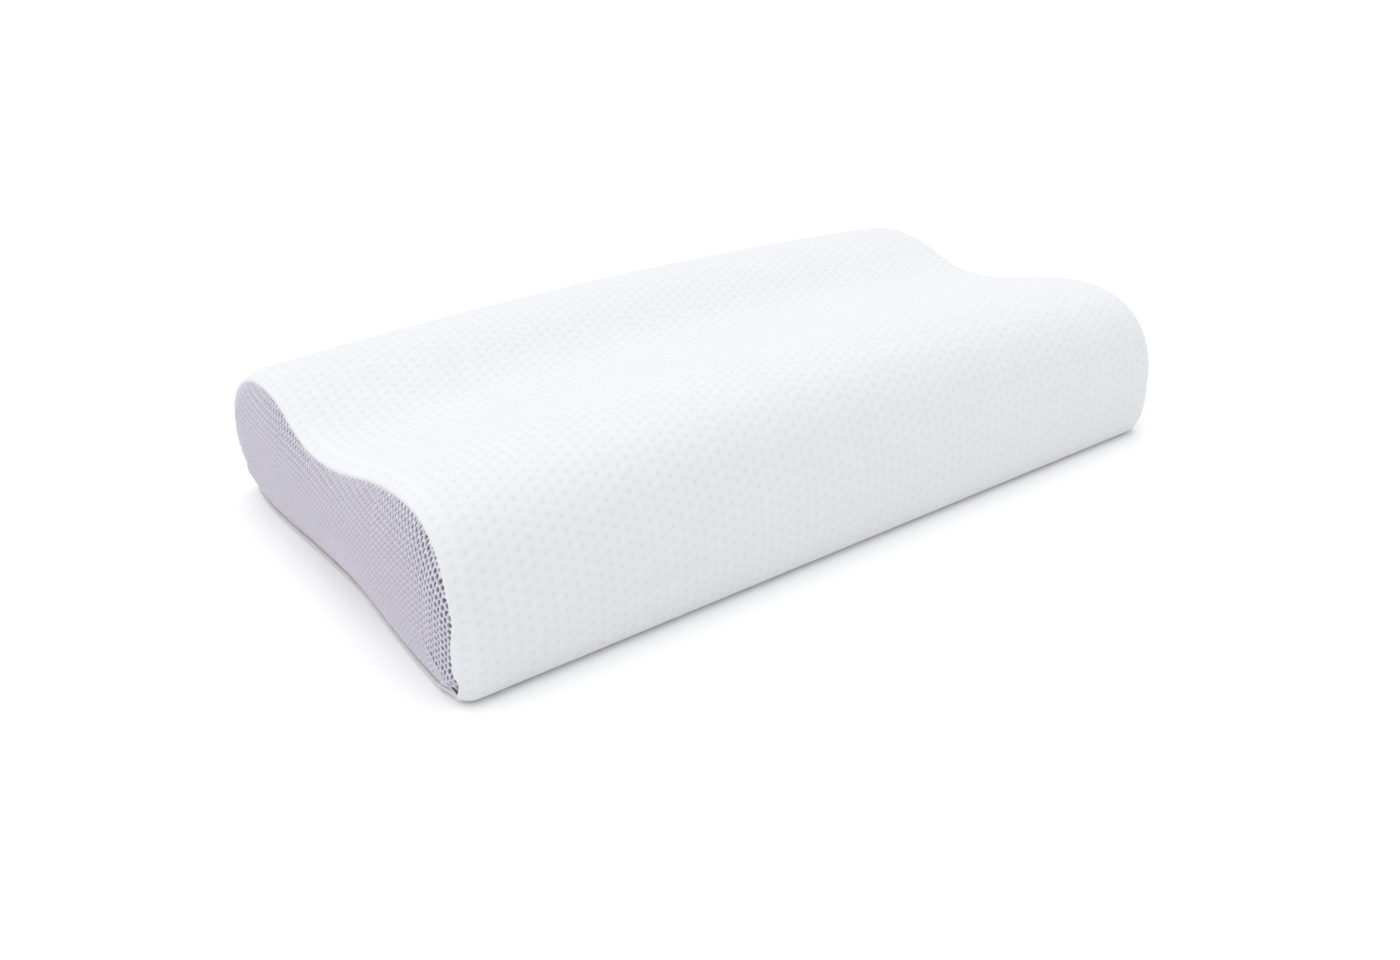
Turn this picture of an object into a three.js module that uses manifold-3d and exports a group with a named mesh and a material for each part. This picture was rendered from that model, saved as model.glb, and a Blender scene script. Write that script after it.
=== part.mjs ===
// Contour bed pillow: a two-lobed foam core in a thin liner and a zip-off knitted cover.
// Millimetres. X runs along the pillow, the tall front lobe faces -Y, +Z is up and Z = 0 is the base.
// The zip runs along the rear face and is shown closed, with its slider at the +X end.

import * as THREE from "three";
import { mergeVertices } from "three/addons/utils/BufferGeometryUtils.js";
import Module from "manifold-3d";

const wasm = await Module();
wasm.setup();

// Overall size
const LENGTH = 600;
const DEPTH = 345;

// Side profile at the ends: two lobes with a dip between them
const FRONT_LOBE_HEIGHT = 110;
const FRONT_CREST_SETBACK = 62;
const FRONT_BULGE_HEIGHT = 29;
const DIP_HEIGHT = 88;
const DIP_SETBACK = 154;
const REAR_LOBE_HEIGHT = 105;
const REAR_CREST_SETBACK = 72;
const FOOT_RADIUS = 16;

// How much higher the front lobe stands in the middle of the length than at the ends
const CROWN_RISE = 11;

// How the ends round over: along X, and inwards from the side profile
const END_ROUND_LENGTH = 15;
const END_ROUND_INSET = 11;

// Layers, from the outside in
const COVER_THICKNESS = 2.6;
const COVER_TO_LINER = 2.9;
const LINER_THICKNESS = 0.8;
const LINER_TO_FOAM = 0.4;

// Seams
const SEAM_GAP = 0.3;
const END_SEAM_RETURN = 0.9;
const FRONT_SEAM_HEIGHT = 4;
const LINER_SEAM_RETURN = 3.2;

// Zip
const ZIP_HEIGHT = 33;
const ZIP_LENGTH = 481;
const ZIP_CLEARANCE = 0.3;
const SLOT_HALF_HEIGHT = 6;
const SLOT_END_MARGIN = 4.5;
const FLAT_MARGIN = 3.5; // how far the rear face stays flat beyond the tapes
const TAPE_WIDTH = 12;
const TAPE_THICKNESS = 0.6;
const TAPE_TAIL = 8;
const CHAIN_HALF_GAP = 0.6;
const COIL_WIDTH = 2.6;
const COIL_THICKNESS = 2.1;
const STOP_LENGTH = 2.6;
const SLIDER_LENGTH = 10.4;
const SLIDER_WIDTH = 9;
const SLIDER_PLATE = 1;
const SLIDER_POST_LENGTH = 2.6;
const SLIDER_POST_THICKNESS = 0.5;
const BAIL_LENGTH = 6.8;
const BAIL_WIDTH = 2.6;
const BAIL_HEIGHT = 3.3;
const BAIL_THICKNESS = 1;
const TAB_LENGTH = 23;
const TAB_WIDTH = 6.4;
const TAB_THICKNESS = 1.2;
const TAB_EYE_LENGTH = 4.6;
const TAB_EYE_WIDTH = 3.6;

// Binding along the base of each end
const BINDING_WIDTH = 3.4;
const BINDING_HEIGHT = 2.8;
const BINDING_END_INSET = 0.8;

// Blank label in the rear seam
const LABEL_WIDTH = 24;
const LABEL_LENGTH = 28;
const LABEL_THICKNESS = 0.5;
const LABEL_STANDOFF = 0.4;
const LABEL_END_INSET = 8;

// Fineness of the curved surfaces
const LONG_CURVE_STEPS = 9;
const FOOT_STEPS = 4;
const ROUND_STEPS = 3;
const CROWN_STEPS = 6;

// Worked-out places
const FRONT_Y = -DEPTH / 2;
const REAR_Y = DEPTH / 2;
const END_X = LENGTH / 2;
const END_SEAM_X = END_X - COVER_THICKNESS - END_SEAM_RETURN;
const LINER_DEPTH = COVER_THICKNESS + COVER_TO_LINER;
const FOAM_DEPTH = LINER_DEPTH + LINER_THICKNESS + LINER_TO_FOAM;
const REACH = LENGTH + DEPTH; // half-size of the cutting blocks, beyond every surface

const materials = {
  knit: new THREE.MeshStandardMaterial({ color: 0xf4f4f7, roughness: 0.9, metalness: 0 }),
  underside: new THREE.MeshStandardMaterial({ color: 0xdcdbdd, roughness: 0.95, metalness: 0 }),
  mesh: new THREE.MeshStandardMaterial({ color: 0xc8c4d0, roughness: 0.95, metalness: 0 }),
  binding: new THREE.MeshStandardMaterial({ color: 0xcfccd2, roughness: 0.9, metalness: 0 }),
  liner: new THREE.MeshStandardMaterial({ color: 0xf0efec, roughness: 0.95, metalness: 0 }),
  foam: new THREE.MeshStandardMaterial({ color: 0xf2ead2, roughness: 1, metalness: 0 }),
  tape: new THREE.MeshStandardMaterial({ color: 0xefeff1, roughness: 0.85, metalness: 0 }),
  coil: new THREE.MeshStandardMaterial({ color: 0xf3f3f4, roughness: 0.35, metalness: 0 }),
  metal: new THREE.MeshStandardMaterial({ color: 0xc9c9cc, roughness: 0.3, metalness: 1 }),
  label: new THREE.MeshStandardMaterial({ color: 0xfafafa, roughness: 0.6, metalness: 0 }),
};

// A closed three.js geometry as a solid.
function solid(geometry) {
  const bare = geometry.index ? geometry.toNonIndexed() : geometry.clone();
  bare.deleteAttribute("normal");
  bare.deleteAttribute("uv");
  const merged = mergeVertices(bare, 1e-4);
  return new wasm.Manifold(
    new wasm.Mesh({
      numProp: 3,
      vertProperties: merged.attributes.position.array,
      triVerts: new Uint32Array(merged.index.array),
    }),
  );
}

// A box between two corners, as a solid.
function block(low, high) {
  const size = high.map((value, axis) => value - low[axis]);
  const middle = high.map((value, axis) => (value + low[axis]) / 2);
  return solid(new THREE.BoxGeometry(...size).translate(...middle));
}

// A solid as a named mesh.
function part(name, made, material) {
  const { numProp, vertProperties, triVerts } = made.getMesh();
  const geometry = new THREE.BufferGeometry();
  const corners = new THREE.InterleavedBuffer(new Float32Array(vertProperties), numProp);
  geometry.setAttribute("position", new THREE.InterleavedBufferAttribute(corners, 3, 0));
  geometry.setIndex(new THREE.BufferAttribute(new Uint32Array(triVerts), 1));
  const flat = geometry.toNonIndexed();
  flat.computeVertexNormals();
  const mesh = new THREE.Mesh(flat, material);
  mesh.name = name;
  return mesh;
}

// A curve between two points that leaves level and arrives upright, or the other way round.
function quarterTurn(from, to, leavesLevel, pullFrom, pullTo) {
  const [dy, dz] = [to[0] - from[0], to[1] - from[1]];
  const first = leavesLevel ? [from[0] + pullFrom * dy, from[1]] : [from[0], from[1] + pullFrom * dz];
  const second = leavesLevel ? [to[0], to[1] - pullTo * dz] : [to[0] - pullTo * dy, to[1]];
  return bezier(from, first, second, to);
}

// A curve that is level at both ends: the slope between a crest and the dip.
function slope(from, to, pull) {
  const reach = pull * (to[0] - from[0]);
  return bezier(from, [from[0] + reach, from[1]], [to[0] - reach, to[1]], to);
}

function bezier(...points) {
  return new THREE.CubicBezierCurve(...points.map(([y, z]) => new THREE.Vector2(y, z)));
}

function line(from, to) {
  return new THREE.LineCurve(new THREE.Vector2(...from), new THREE.Vector2(...to));
}

// The pillow's side profile in Y and Z, clockwise from the front edge of the flat base.
function profileCurves() {
  const footFront = [FRONT_Y + FOOT_RADIUS, 0];
  const bulge = [FRONT_Y, FRONT_BULGE_HEIGHT];
  const frontCrest = [FRONT_Y + FRONT_CREST_SETBACK, FRONT_LOBE_HEIGHT];
  const dip = [REAR_Y - DIP_SETBACK, DIP_HEIGHT];
  const rearCrest = [REAR_Y - REAR_CREST_SETBACK, REAR_LOBE_HEIGHT];
  const flatHalf = CHAIN_HALF_GAP + TAPE_WIDTH + FLAT_MARGIN;
  const rearHigh = [REAR_Y, ZIP_HEIGHT + flatHalf];
  const rearLow = [REAR_Y, ZIP_HEIGHT - flatHalf];
  const footRear = [REAR_Y - FOOT_RADIUS, 0];
  return [
    { curve: quarterTurn(footFront, bulge, true, 0.6, 0.55), steps: FOOT_STEPS },
    { curve: quarterTurn(bulge, frontCrest, false, 0.71, 0.58), steps: LONG_CURVE_STEPS },
    { curve: slope(frontCrest, dip, 0.4), steps: LONG_CURVE_STEPS },
    { curve: slope(dip, rearCrest, 0.42), steps: LONG_CURVE_STEPS },
    { curve: quarterTurn(rearCrest, rearHigh, true, 0.6, 0.6), steps: LONG_CURVE_STEPS },
    { curve: line(rearHigh, rearLow), steps: 1 },
    { curve: quarterTurn(rearLow, footRear, false, 0.55, 0.55), steps: FOOT_STEPS },
    { curve: line(footRear, footFront), steps: 1 },
  ];
}

// The side profile moved inwards by an even amount.
function outline(inset) {
  const points = [];
  for (const { curve, steps } of profileCurves()) {
    for (let step = 0; step < steps; step += 1) {
      const point = curve.getPoint(step / steps);
      const way = curve.getTangent(step / steps);
      points.push(new THREE.Vector2(point.x + inset * way.y, point.y - inset * way.x));
    }
  }
  return new THREE.Shape(points);
}

// The whole pillow form, moved inwards by an even amount on every side.
function form(inset) {
  const straight = LENGTH - 2 * END_ROUND_LENGTH;
  const geometry = new THREE.ExtrudeGeometry(outline(inset), {
    depth: straight,
    steps: CROWN_STEPS,
    bevelEnabled: true,
    bevelThickness: END_ROUND_LENGTH - inset,
    bevelSize: END_ROUND_INSET - inset,
    bevelOffset: inset - END_ROUND_INSET,
    bevelSegments: ROUND_STEPS,
  });
  geometry.translate(0, 0, -straight / 2);
  const profileToPillow = new THREE.Matrix4().makeBasis(
    new THREE.Vector3(0, 1, 0),
    new THREE.Vector3(0, 0, 1),
    new THREE.Vector3(1, 0, 0),
  );
  return solid(crowned(geometry.applyMatrix4(profileToPillow)));
}

// Heights grow from the ends towards the middle of the length, and the base stays flat.
function crowned(geometry) {
  const { position } = geometry.attributes;
  for (let i = 0; i < position.count; i += 1) {
    const along = position.getX(i) / END_X;
    const growth = 1 + (CROWN_RISE / FRONT_LOBE_HEIGHT) * (1 - along * along);
    position.setZ(i, position.getZ(i) * growth);
  }
  return geometry;
}

// The skin between two depths below the pillow's surface.
function skin(outerInset, thickness) {
  return form(outerInset).subtract(form(outerInset + thickness));
}

// The part of a skin between two planes across X.
function between(whole, lowX, highX) {
  return whole.intersect(block([lowX, -REACH, -REACH], [highX, REACH, REACH]));
}

const pillow = new THREE.Group();

function addFoam() {
  pillow.add(part("foam_core", form(FOAM_DEPTH), materials.foam));
}

function addLiner() {
  const liner = skin(LINER_DEPTH, LINER_THICKNESS);
  const seam = END_X - LINER_DEPTH - LINER_THICKNESS - LINER_SEAM_RETURN;
  pillow.add(part("liner_sleeve", between(liner, -seam, seam), materials.liner));
  pillow.add(part("liner_end_left", between(liner, -REACH, -seam - SEAM_GAP), materials.liner));
  pillow.add(part("liner_end_right", between(liner, seam + SEAM_GAP, REACH), materials.liner));
}

function addCover() {
  const cover = skin(0, COVER_THICKNESS);
  pillow.add(part("end_panel_left", between(cover, -REACH, -END_SEAM_X - SEAM_GAP), materials.mesh));
  pillow.add(part("end_panel_right", between(cover, END_SEAM_X + SEAM_GAP, REACH), materials.mesh));

  // The main and bottom panels meet low along the front and in line with the zip along the rear.
  const slotHalf = ZIP_LENGTH / 2 + SLOT_END_MARGIN;
  const slot = block(
    [-slotHalf, REAR_Y - LINER_DEPTH, ZIP_HEIGHT - SLOT_HALF_HEIGHT],
    [slotHalf, REACH, ZIP_HEIGHT + SLOT_HALF_HEIGHT],
  );
  const wrap = between(cover, -END_SEAM_X, END_SEAM_X).subtract(slot);
  const footEnd = FRONT_Y + FOOT_RADIUS;
  const rearSeamLow = ZIP_HEIGHT - SEAM_GAP / 2;
  const below = block([-REACH, -REACH, -REACH], [REACH, REACH, FRONT_SEAM_HEIGHT]).add(
    block([-REACH, footEnd, -REACH], [REACH, REACH, rearSeamLow]),
  );
  const aboveFront = [-REACH, -REACH, FRONT_SEAM_HEIGHT + SEAM_GAP];
  const above = block(aboveFront, [REACH, footEnd - SEAM_GAP, REACH]).add(
    block([-REACH, FRONT_Y, rearSeamLow + SEAM_GAP], [REACH, REACH, REACH]),
  );
  pillow.add(part("cover_main_panel", wrap.intersect(above), materials.knit));
  pillow.add(part("cover_bottom_panel", wrap.intersect(below), materials.underside));
}

function addBindings() {
  const half = DEPTH / 2 - FOOT_RADIUS;
  for (const [name, side] of [["base_binding_left", -1], ["base_binding_right", 1]]) {
    const strip = new THREE.BoxGeometry(BINDING_WIDTH, 2 * half, BINDING_HEIGHT);
    const mesh = part(name, solid(strip), materials.binding);
    mesh.position.x = side * (END_X - BINDING_END_INSET - BINDING_WIDTH / 2);
    mesh.position.z = SEAM_GAP + BINDING_HEIGHT / 2;
    pillow.add(mesh);
  }
}

// The zip's own frame: X along the chain, Y out of the rear face, Z across the chain.
const zip = new THREE.Group();
zip.position.set(0, REAR_Y, ZIP_HEIGHT);
pillow.add(zip);
const TAPE_FACE = -COVER_THICKNESS - ZIP_CLEARANCE;
const TAPE_BACK = TAPE_FACE - TAPE_THICKNESS;
const COIL_BACK = TAPE_FACE + ZIP_CLEARANCE;
const COIL_FACE = COIL_BACK + COIL_THICKNESS;
const CHAIN_HALF_WIDTH = CHAIN_HALF_GAP + COIL_WIDTH;

function addChain() {
  const halfTape = ZIP_LENGTH / 2 + TAPE_TAIL;
  const halfCoil = ZIP_LENGTH / 2;
  for (const [row, side] of [["upper", 1], ["lower", -1]]) {
    const across = (from, to) => [Math.min(side * from, side * to), Math.max(side * from, side * to)];
    const [tapeLow, tapeHigh] = across(CHAIN_HALF_GAP, CHAIN_HALF_GAP + TAPE_WIDTH);
    const [coilLow, coilHigh] = across(CHAIN_HALF_GAP, CHAIN_HALF_WIDTH);
    const tape = block([-halfTape, TAPE_BACK, tapeLow], [halfTape, TAPE_FACE, tapeHigh]);
    const coil = block([-halfCoil, COIL_BACK, coilLow], [halfCoil, COIL_FACE, coilHigh]);
    const stop = block(
      [halfCoil + SEAM_GAP, COIL_BACK, coilLow],
      [halfCoil + SEAM_GAP + STOP_LENGTH, COIL_FACE, coilHigh],
    );
    zip.add(part("zip_tape_" + row, tape, materials.tape));
    zip.add(part("zip_coil_" + row, coil, materials.coil));
    zip.add(part("zip_top_stop_" + row, stop, materials.metal));
  }
  const bottomStop = block(
    [-halfCoil - SEAM_GAP - STOP_LENGTH, COIL_BACK, -CHAIN_HALF_WIDTH],
    [-halfCoil - SEAM_GAP, COIL_FACE, CHAIN_HALF_WIDTH],
  );
  zip.add(part("zip_bottom_stop", bottomStop, materials.metal));
}

// Two plates either side of the chain, joined by a thin post between the coils, with a bail on top.
const slider = new THREE.Group();
slider.position.x = ZIP_LENGTH / 2 - SLIDER_LENGTH / 2;
zip.add(slider);
const TOP_PLATE_BACK = COIL_FACE + ZIP_CLEARANCE;
const TOP_PLATE_FACE = TOP_PLATE_BACK + SLIDER_PLATE;

function addSlider() {
  const halfLength = SLIDER_LENGTH / 2;
  const halfWidth = SLIDER_WIDTH / 2;
  const bottomFace = TAPE_BACK - ZIP_CLEARANCE;
  const topPlate = block([-halfLength, TOP_PLATE_BACK, -halfWidth], [halfLength, TOP_PLATE_FACE, halfWidth]);
  const bottomPlate = block(
    [-halfLength, bottomFace - SLIDER_PLATE, -halfWidth],
    [halfLength, bottomFace, halfWidth],
  );
  const post = block(
    [halfLength - SLIDER_POST_LENGTH, bottomFace - SLIDER_PLATE / 2, -SLIDER_POST_THICKNESS / 2],
    [halfLength, TOP_PLATE_BACK + SLIDER_PLATE / 2, SLIDER_POST_THICKNESS / 2],
  );
  const archTop = TOP_PLATE_FACE + BAIL_HEIGHT;
  const arch = block(
    [-BAIL_LENGTH / 2, TOP_PLATE_FACE - SLIDER_PLATE / 2, -BAIL_WIDTH / 2],
    [BAIL_LENGTH / 2, archTop, BAIL_WIDTH / 2],
  ).subtract(
    block(
      [BAIL_THICKNESS - BAIL_LENGTH / 2, TOP_PLATE_FACE, -BAIL_WIDTH],
      [BAIL_LENGTH / 2 - BAIL_THICKNESS, archTop - BAIL_THICKNESS, BAIL_WIDTH],
    ),
  );
  slider.add(part("zip_slider", topPlate.add(bottomPlate).add(post).add(arch), materials.metal));
}

// A flat tab whose eye goes round the bail, lying back along the closed chain.
function addPullTab() {
  const halfWidth = TAB_WIDTH / 2;
  const halfBar = TAB_THICKNESS / 2;
  const farEnd = halfBar - TAB_LENGTH;
  const tab = new THREE.Shape();
  tab.moveTo(halfBar, -halfWidth);
  tab.lineTo(halfBar, halfWidth);
  tab.lineTo(farEnd + halfWidth, halfWidth);
  tab.absarc(farEnd + halfWidth, 0, halfWidth, Math.PI / 2, -Math.PI / 2, false);
  tab.closePath();
  const eye = new THREE.Path();
  eye.moveTo(-halfBar, -TAB_EYE_WIDTH / 2);
  eye.lineTo(-halfBar - TAB_EYE_LENGTH, -TAB_EYE_WIDTH / 2);
  eye.lineTo(-halfBar - TAB_EYE_LENGTH, TAB_EYE_WIDTH / 2);
  eye.lineTo(-halfBar, TAB_EYE_WIDTH / 2);
  eye.closePath();
  tab.holes.push(eye);
  const geometry = new THREE.ExtrudeGeometry(tab, {
    depth: TAB_THICKNESS,
    bevelEnabled: false,
    curveSegments: 8,
  });
  geometry.translate(0, 0, -TAB_THICKNESS / 2);
  const mesh = part("zip_pull_tab", solid(geometry), materials.metal);
  mesh.rotation.x = Math.PI / 2;
  mesh.position.y = TOP_PLATE_FACE + (BAIL_HEIGHT - BAIL_THICKNESS) / 2;
  slider.add(mesh);
}

function addLabel() {
  const cloth = new THREE.BoxGeometry(LABEL_WIDTH, LABEL_THICKNESS, LABEL_LENGTH);
  const label = part("care_label", solid(cloth), materials.label);
  label.position.set(
    END_X - LABEL_END_INSET - LABEL_WIDTH / 2,
    REAR_Y + LABEL_STANDOFF + LABEL_THICKNESS / 2,
    ZIP_HEIGHT - LABEL_LENGTH / 2,
  );
  pillow.add(label);
}

addFoam();
addLiner();
addCover();
addBindings();
addChain();
addSlider();
addPullTab();
addLabel();

export default pillow;
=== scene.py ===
"""The looks of the contour bed pillow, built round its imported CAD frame. Metres, +Z up."""

import math

import bmesh
import bpy
import numpy as np
from mathutils.kdtree import KDTree
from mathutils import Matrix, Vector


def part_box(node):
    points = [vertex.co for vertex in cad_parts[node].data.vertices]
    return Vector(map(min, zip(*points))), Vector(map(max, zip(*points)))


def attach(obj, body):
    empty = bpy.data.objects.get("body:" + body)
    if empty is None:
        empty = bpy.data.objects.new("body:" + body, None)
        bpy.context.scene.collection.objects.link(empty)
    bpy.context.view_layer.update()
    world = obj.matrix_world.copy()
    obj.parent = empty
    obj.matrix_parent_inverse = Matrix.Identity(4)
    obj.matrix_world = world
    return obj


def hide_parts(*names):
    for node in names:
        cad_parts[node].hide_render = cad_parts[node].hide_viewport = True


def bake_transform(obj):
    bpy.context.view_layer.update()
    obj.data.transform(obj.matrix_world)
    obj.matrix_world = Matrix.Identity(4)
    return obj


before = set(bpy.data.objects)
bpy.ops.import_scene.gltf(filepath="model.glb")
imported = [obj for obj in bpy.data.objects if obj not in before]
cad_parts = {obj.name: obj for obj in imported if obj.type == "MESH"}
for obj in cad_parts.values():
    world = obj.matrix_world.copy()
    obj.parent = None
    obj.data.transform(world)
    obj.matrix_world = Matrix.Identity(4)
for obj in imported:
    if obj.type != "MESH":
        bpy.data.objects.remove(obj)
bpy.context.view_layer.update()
scene = bpy.context.scene
MM = 0.001

# Side profile at the ends: two lobes with a dip between them
FRONT_LOBE_HEIGHT = 110 * MM
FRONT_CREST_SETBACK = 62 * MM
FRONT_BULGE_HEIGHT = 29 * MM
DIP_HEIGHT = 88 * MM
DIP_SETBACK = 154 * MM
REAR_LOBE_HEIGHT = 105 * MM
REAR_CREST_SETBACK = 72 * MM
REAR_FLAT_HALF = 16.1 * MM
FRONT_FOOT = 12 * MM
REAR_FOOT = 14 * MM

# How the ends round over: along X, and inwards from the side profile
END_ROUND_LENGTH = 15 * MM
END_ROUND_INSET = 11 * MM
END_ROUND_MEAN = 13 * MM

# How far the cover turns round the ends before the end seam: on the faces, at the feet, along the base
# and at its front corner
SEAM_TURN = math.radians(61.6)
FOOT_SEAM_TURN = math.radians(84)
BASE_SEAM_TURN = math.radians(43)
CORNER_SEAM_TURN = math.radians(60)
FOOT_SEAM_LOW = 15 * MM
FOOT_SEAM_HIGH = 58 * MM
FOOT_SEAM_FADE_LOW = 8 * MM
FOOT_SEAM_FADE_HIGH = 20 * MM
SEAM_TAKE_IN = 0.6 * MM
GROOVE_DEPTH = 1.3 * MM

# How the front end of each binding is tucked in and rises with the seam
CORNER_TUCK = 1.4 * MM
CORNER_RISE = 2.8 * MM
CORNER_LENGTH = 36 * MM
CORNER_FADE = 18 * MM

# How the ends lean out towards the base, and where the base is pulled in again: under the dip, behind it
# and at the rear corners
LEAN_OUT = 3.6 * MM
LEAN_TOP = 112 * MM
LEAN_HEIGHT = 50 * MM
DIP_PULL = 7.0 * MM
DIP_PULL_REACH = 70 * MM
PULL_SETBACK = 28 * MM
REAR_PULL = 2.0 * MM
REAR_PULL_REACH = 80 * MM
CORNER_PULL = 4.0 * MM
CORNER_PULL_START = 55 * MM
CORNER_PULL_REACH = 50 * MM
PULL_HEIGHT = 45 * MM
LEAN_LENGTH = 85 * MM

# Cloth
KNIT_THICKNESS = 2.1 * MM
LINER_DEPTH = 5.5 * MM
LINER_THICKNESS = 0.8 * MM
FOAM_DEPTH = 6.7 * MM

# Jacquard dimples: columns along X, rows round the side profile, every other column half a row up
COLUMN_PITCH = 7.3 * MM
ROW_PITCH = 7.6 * MM
DIMPLE_RADIUS = 1.7 * MM
DIMPLE_DEPTH = 0.6 * MM
PUFF_HEIGHT = 0.14 * MM

# Spacer mesh holes: columns side by side along Y, a little out of upright, every other one half a row up
HOLE_COLUMN_PITCH = 1.9 * MM
HOLE_ROW_PITCH = 4.45 * MM
HOLE_LEAN = math.radians(5)
HOLE_HALF_WIDTH = 1.0 * MM
HOLE_HALF_HEIGHT = 1.75 * MM
HOLE_DEPTH = 1.8 * MM
MESH_THICKNESS = 2.4 * MM
HOLE_COLUMN_STEPS = 4
HOLE_ROW_STEPS = 6

# The mesh is drawn wider over the front corner: the most it shifts, and how far back that fades
DRAWN_SHIFT = 12 * MM
DRAWN_REACH = 30 * MM

# Places that the frame gives
main_low, main_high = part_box("cover_main_panel")
tape_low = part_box("zip_tape_upper")[0]
slider_low, slider_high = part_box("zip_slider")
FRONT_Y = main_low.y
REAR_Y = main_high.y
END_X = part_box("end_panel_right")[1].x
FRONT_SEAM_Z = 0.5 * main_low.z
ZIP_Z = (slider_low.z + slider_high.z) / 2
TAPE_TAIL = 8 * MM
STOP_ROOM = 4.5 * MM
SLOT_END_X = -tape_low.x - TAPE_TAIL + STOP_ROOM
SLOT_HALF_HEIGHT = 6 * MM
CROWN = main_high.z / FRONT_LOBE_HEIGHT - 1
STRAIGHT_X = END_X - END_ROUND_LENGTH
SEAM_U = STRAIGHT_X + SEAM_TURN * END_ROUND_MEAN
FAR_U = STRAIGHT_X + END_ROUND_MEAN * math.pi / 2
ZIP_ROWS = (("upper", 1), ("lower", -1))


# ---------------- the pillow's form

def bezier(start, pull_start, pull_end, end, count=80):
    """Points on a cubic curve, without its last one."""
    t = np.linspace(0, 1, count, endpoint=False)[:, None]
    a, b, c, d = (np.array(p, float) for p in (start, pull_start, pull_end, end))
    return (1 - t) ** 3 * a + 3 * (1 - t) ** 2 * t * b + 3 * (1 - t) * t ** 2 * c + t ** 3 * d


def quarter_turn(start, end, leaves_level, pull_start, pull_end):
    """A curve that leaves level and arrives upright, or the other way round."""
    dy, dz = end[0] - start[0], end[1] - start[1]
    if leaves_level:
        first, second = (start[0] + pull_start * dy, start[1]), (end[0], end[1] - pull_end * dz)
    else:
        first, second = (start[0], start[1] + pull_start * dz), (end[0] - pull_end * dy, end[1])
    return bezier(start, first, second, end)


def slope(start, end, pull):
    """A curve that is level at both ends."""
    reach = pull * (end[0] - start[0])
    return bezier(start, (start[0] + reach, start[1]), (end[0] - reach, end[1]), end)


def straight(start, end):
    return bezier(start, start, end, end)


def profile_loop():
    """The closed side profile in Y and Z, clockwise from the front edge of the flat base."""
    foot_front = (FRONT_Y + FRONT_FOOT, 0)
    bulge = (FRONT_Y, FRONT_BULGE_HEIGHT)
    front_crest = (FRONT_Y + FRONT_CREST_SETBACK, FRONT_LOBE_HEIGHT)
    dip = (REAR_Y - DIP_SETBACK, DIP_HEIGHT)
    rear_crest = (REAR_Y - REAR_CREST_SETBACK, REAR_LOBE_HEIGHT)
    rear_high = (REAR_Y, ZIP_Z + REAR_FLAT_HALF)
    rear_low = (REAR_Y, ZIP_Z - REAR_FLAT_HALF)
    foot_rear = (REAR_Y - REAR_FOOT, 0)
    return np.vstack([
        quarter_turn(foot_front, bulge, True, 0.55, 0.5),
        quarter_turn(bulge, front_crest, False, 0.71, 0.58),
        slope(front_crest, dip, 0.4),
        slope(dip, rear_crest, 0.42),
        quarter_turn(rear_crest, rear_high, True, 0.6, 0.6),
        straight(rear_high, rear_low),
        quarter_turn(rear_low, foot_rear, False, 0.55, 0.55),
        straight(foot_rear, foot_front),
        [foot_front],
    ])


class Profile:
    """The side profile by the distance s along it, with its inward direction."""

    def __init__(self, spacing=0.5 * MM):
        loop = profile_loop()
        run = np.append(0, np.cumsum(np.linalg.norm(np.diff(loop, axis=0), axis=1)))
        self.length = run[-1]
        count = int(self.length / spacing)
        self.step = self.length / count
        self.s = np.arange(count) * self.step
        self.points = np.stack([np.interp(self.s, run, loop[:, 0]), np.interp(self.s, run, loop[:, 1])], 1)
        way = np.roll(self.points, -1, 0) - np.roll(self.points, 1, 0)
        way /= np.linalg.norm(way, axis=1)[:, None]
        self.inward = np.stack([way[:, 1], -way[:, 0]], 1)
        self.crest = int(np.argmax(self.points[:, 1]))

    def at(self, s):
        """Points (..., 2) and inward directions at the distances s."""
        place = np.asarray(s) / self.step
        low = np.floor(place).astype(int)
        share = (place - low)[..., None]
        low, high = low % len(self.s), (low + 1) % len(self.s)
        points = self.points[low] * (1 - share) + self.points[high] * share
        return points, self.inward[low] * (1 - share) + self.inward[high] * share

    def front(self, z):
        """The distance s where the front rises through a height."""
        return np.interp(z, self.points[:self.crest, 1], self.s[:self.crest])

    def rear(self, z):
        """The distance s where the rear falls through a height."""
        after = (self.points[:, 0] > 0.6 * REAR_Y) & (self.points[:, 1] > 0.05 * MM)
        after &= self.s > self.s[self.crest] + FRONT_CREST_SETBACK
        heights, places = self.points[after, 1], self.s[after]
        top = int(np.argmax(heights))
        return np.interp(z, heights[top:][::-1], places[top:][::-1])


profile = Profile()


def growth(x):
    """How much higher the pillow stands at x than at its ends."""
    return 1 + CROWN * (1 - np.clip(np.abs(x) / END_X, 0, 1) ** 2)


def turn_at(u):
    """The angle through which the end has rounded over, for u along the pillow and round its ends."""
    return np.clip((np.abs(u) - STRAIGHT_X) / END_ROUND_MEAN, 0, math.pi / 2)


def along(u):
    """X on the form's face for u along the pillow and round its ends."""
    turn = turn_at(u)
    return np.sign(u) * (np.minimum(np.abs(u), STRAIGHT_X) + END_ROUND_LENGTH * np.sin(turn))


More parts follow.
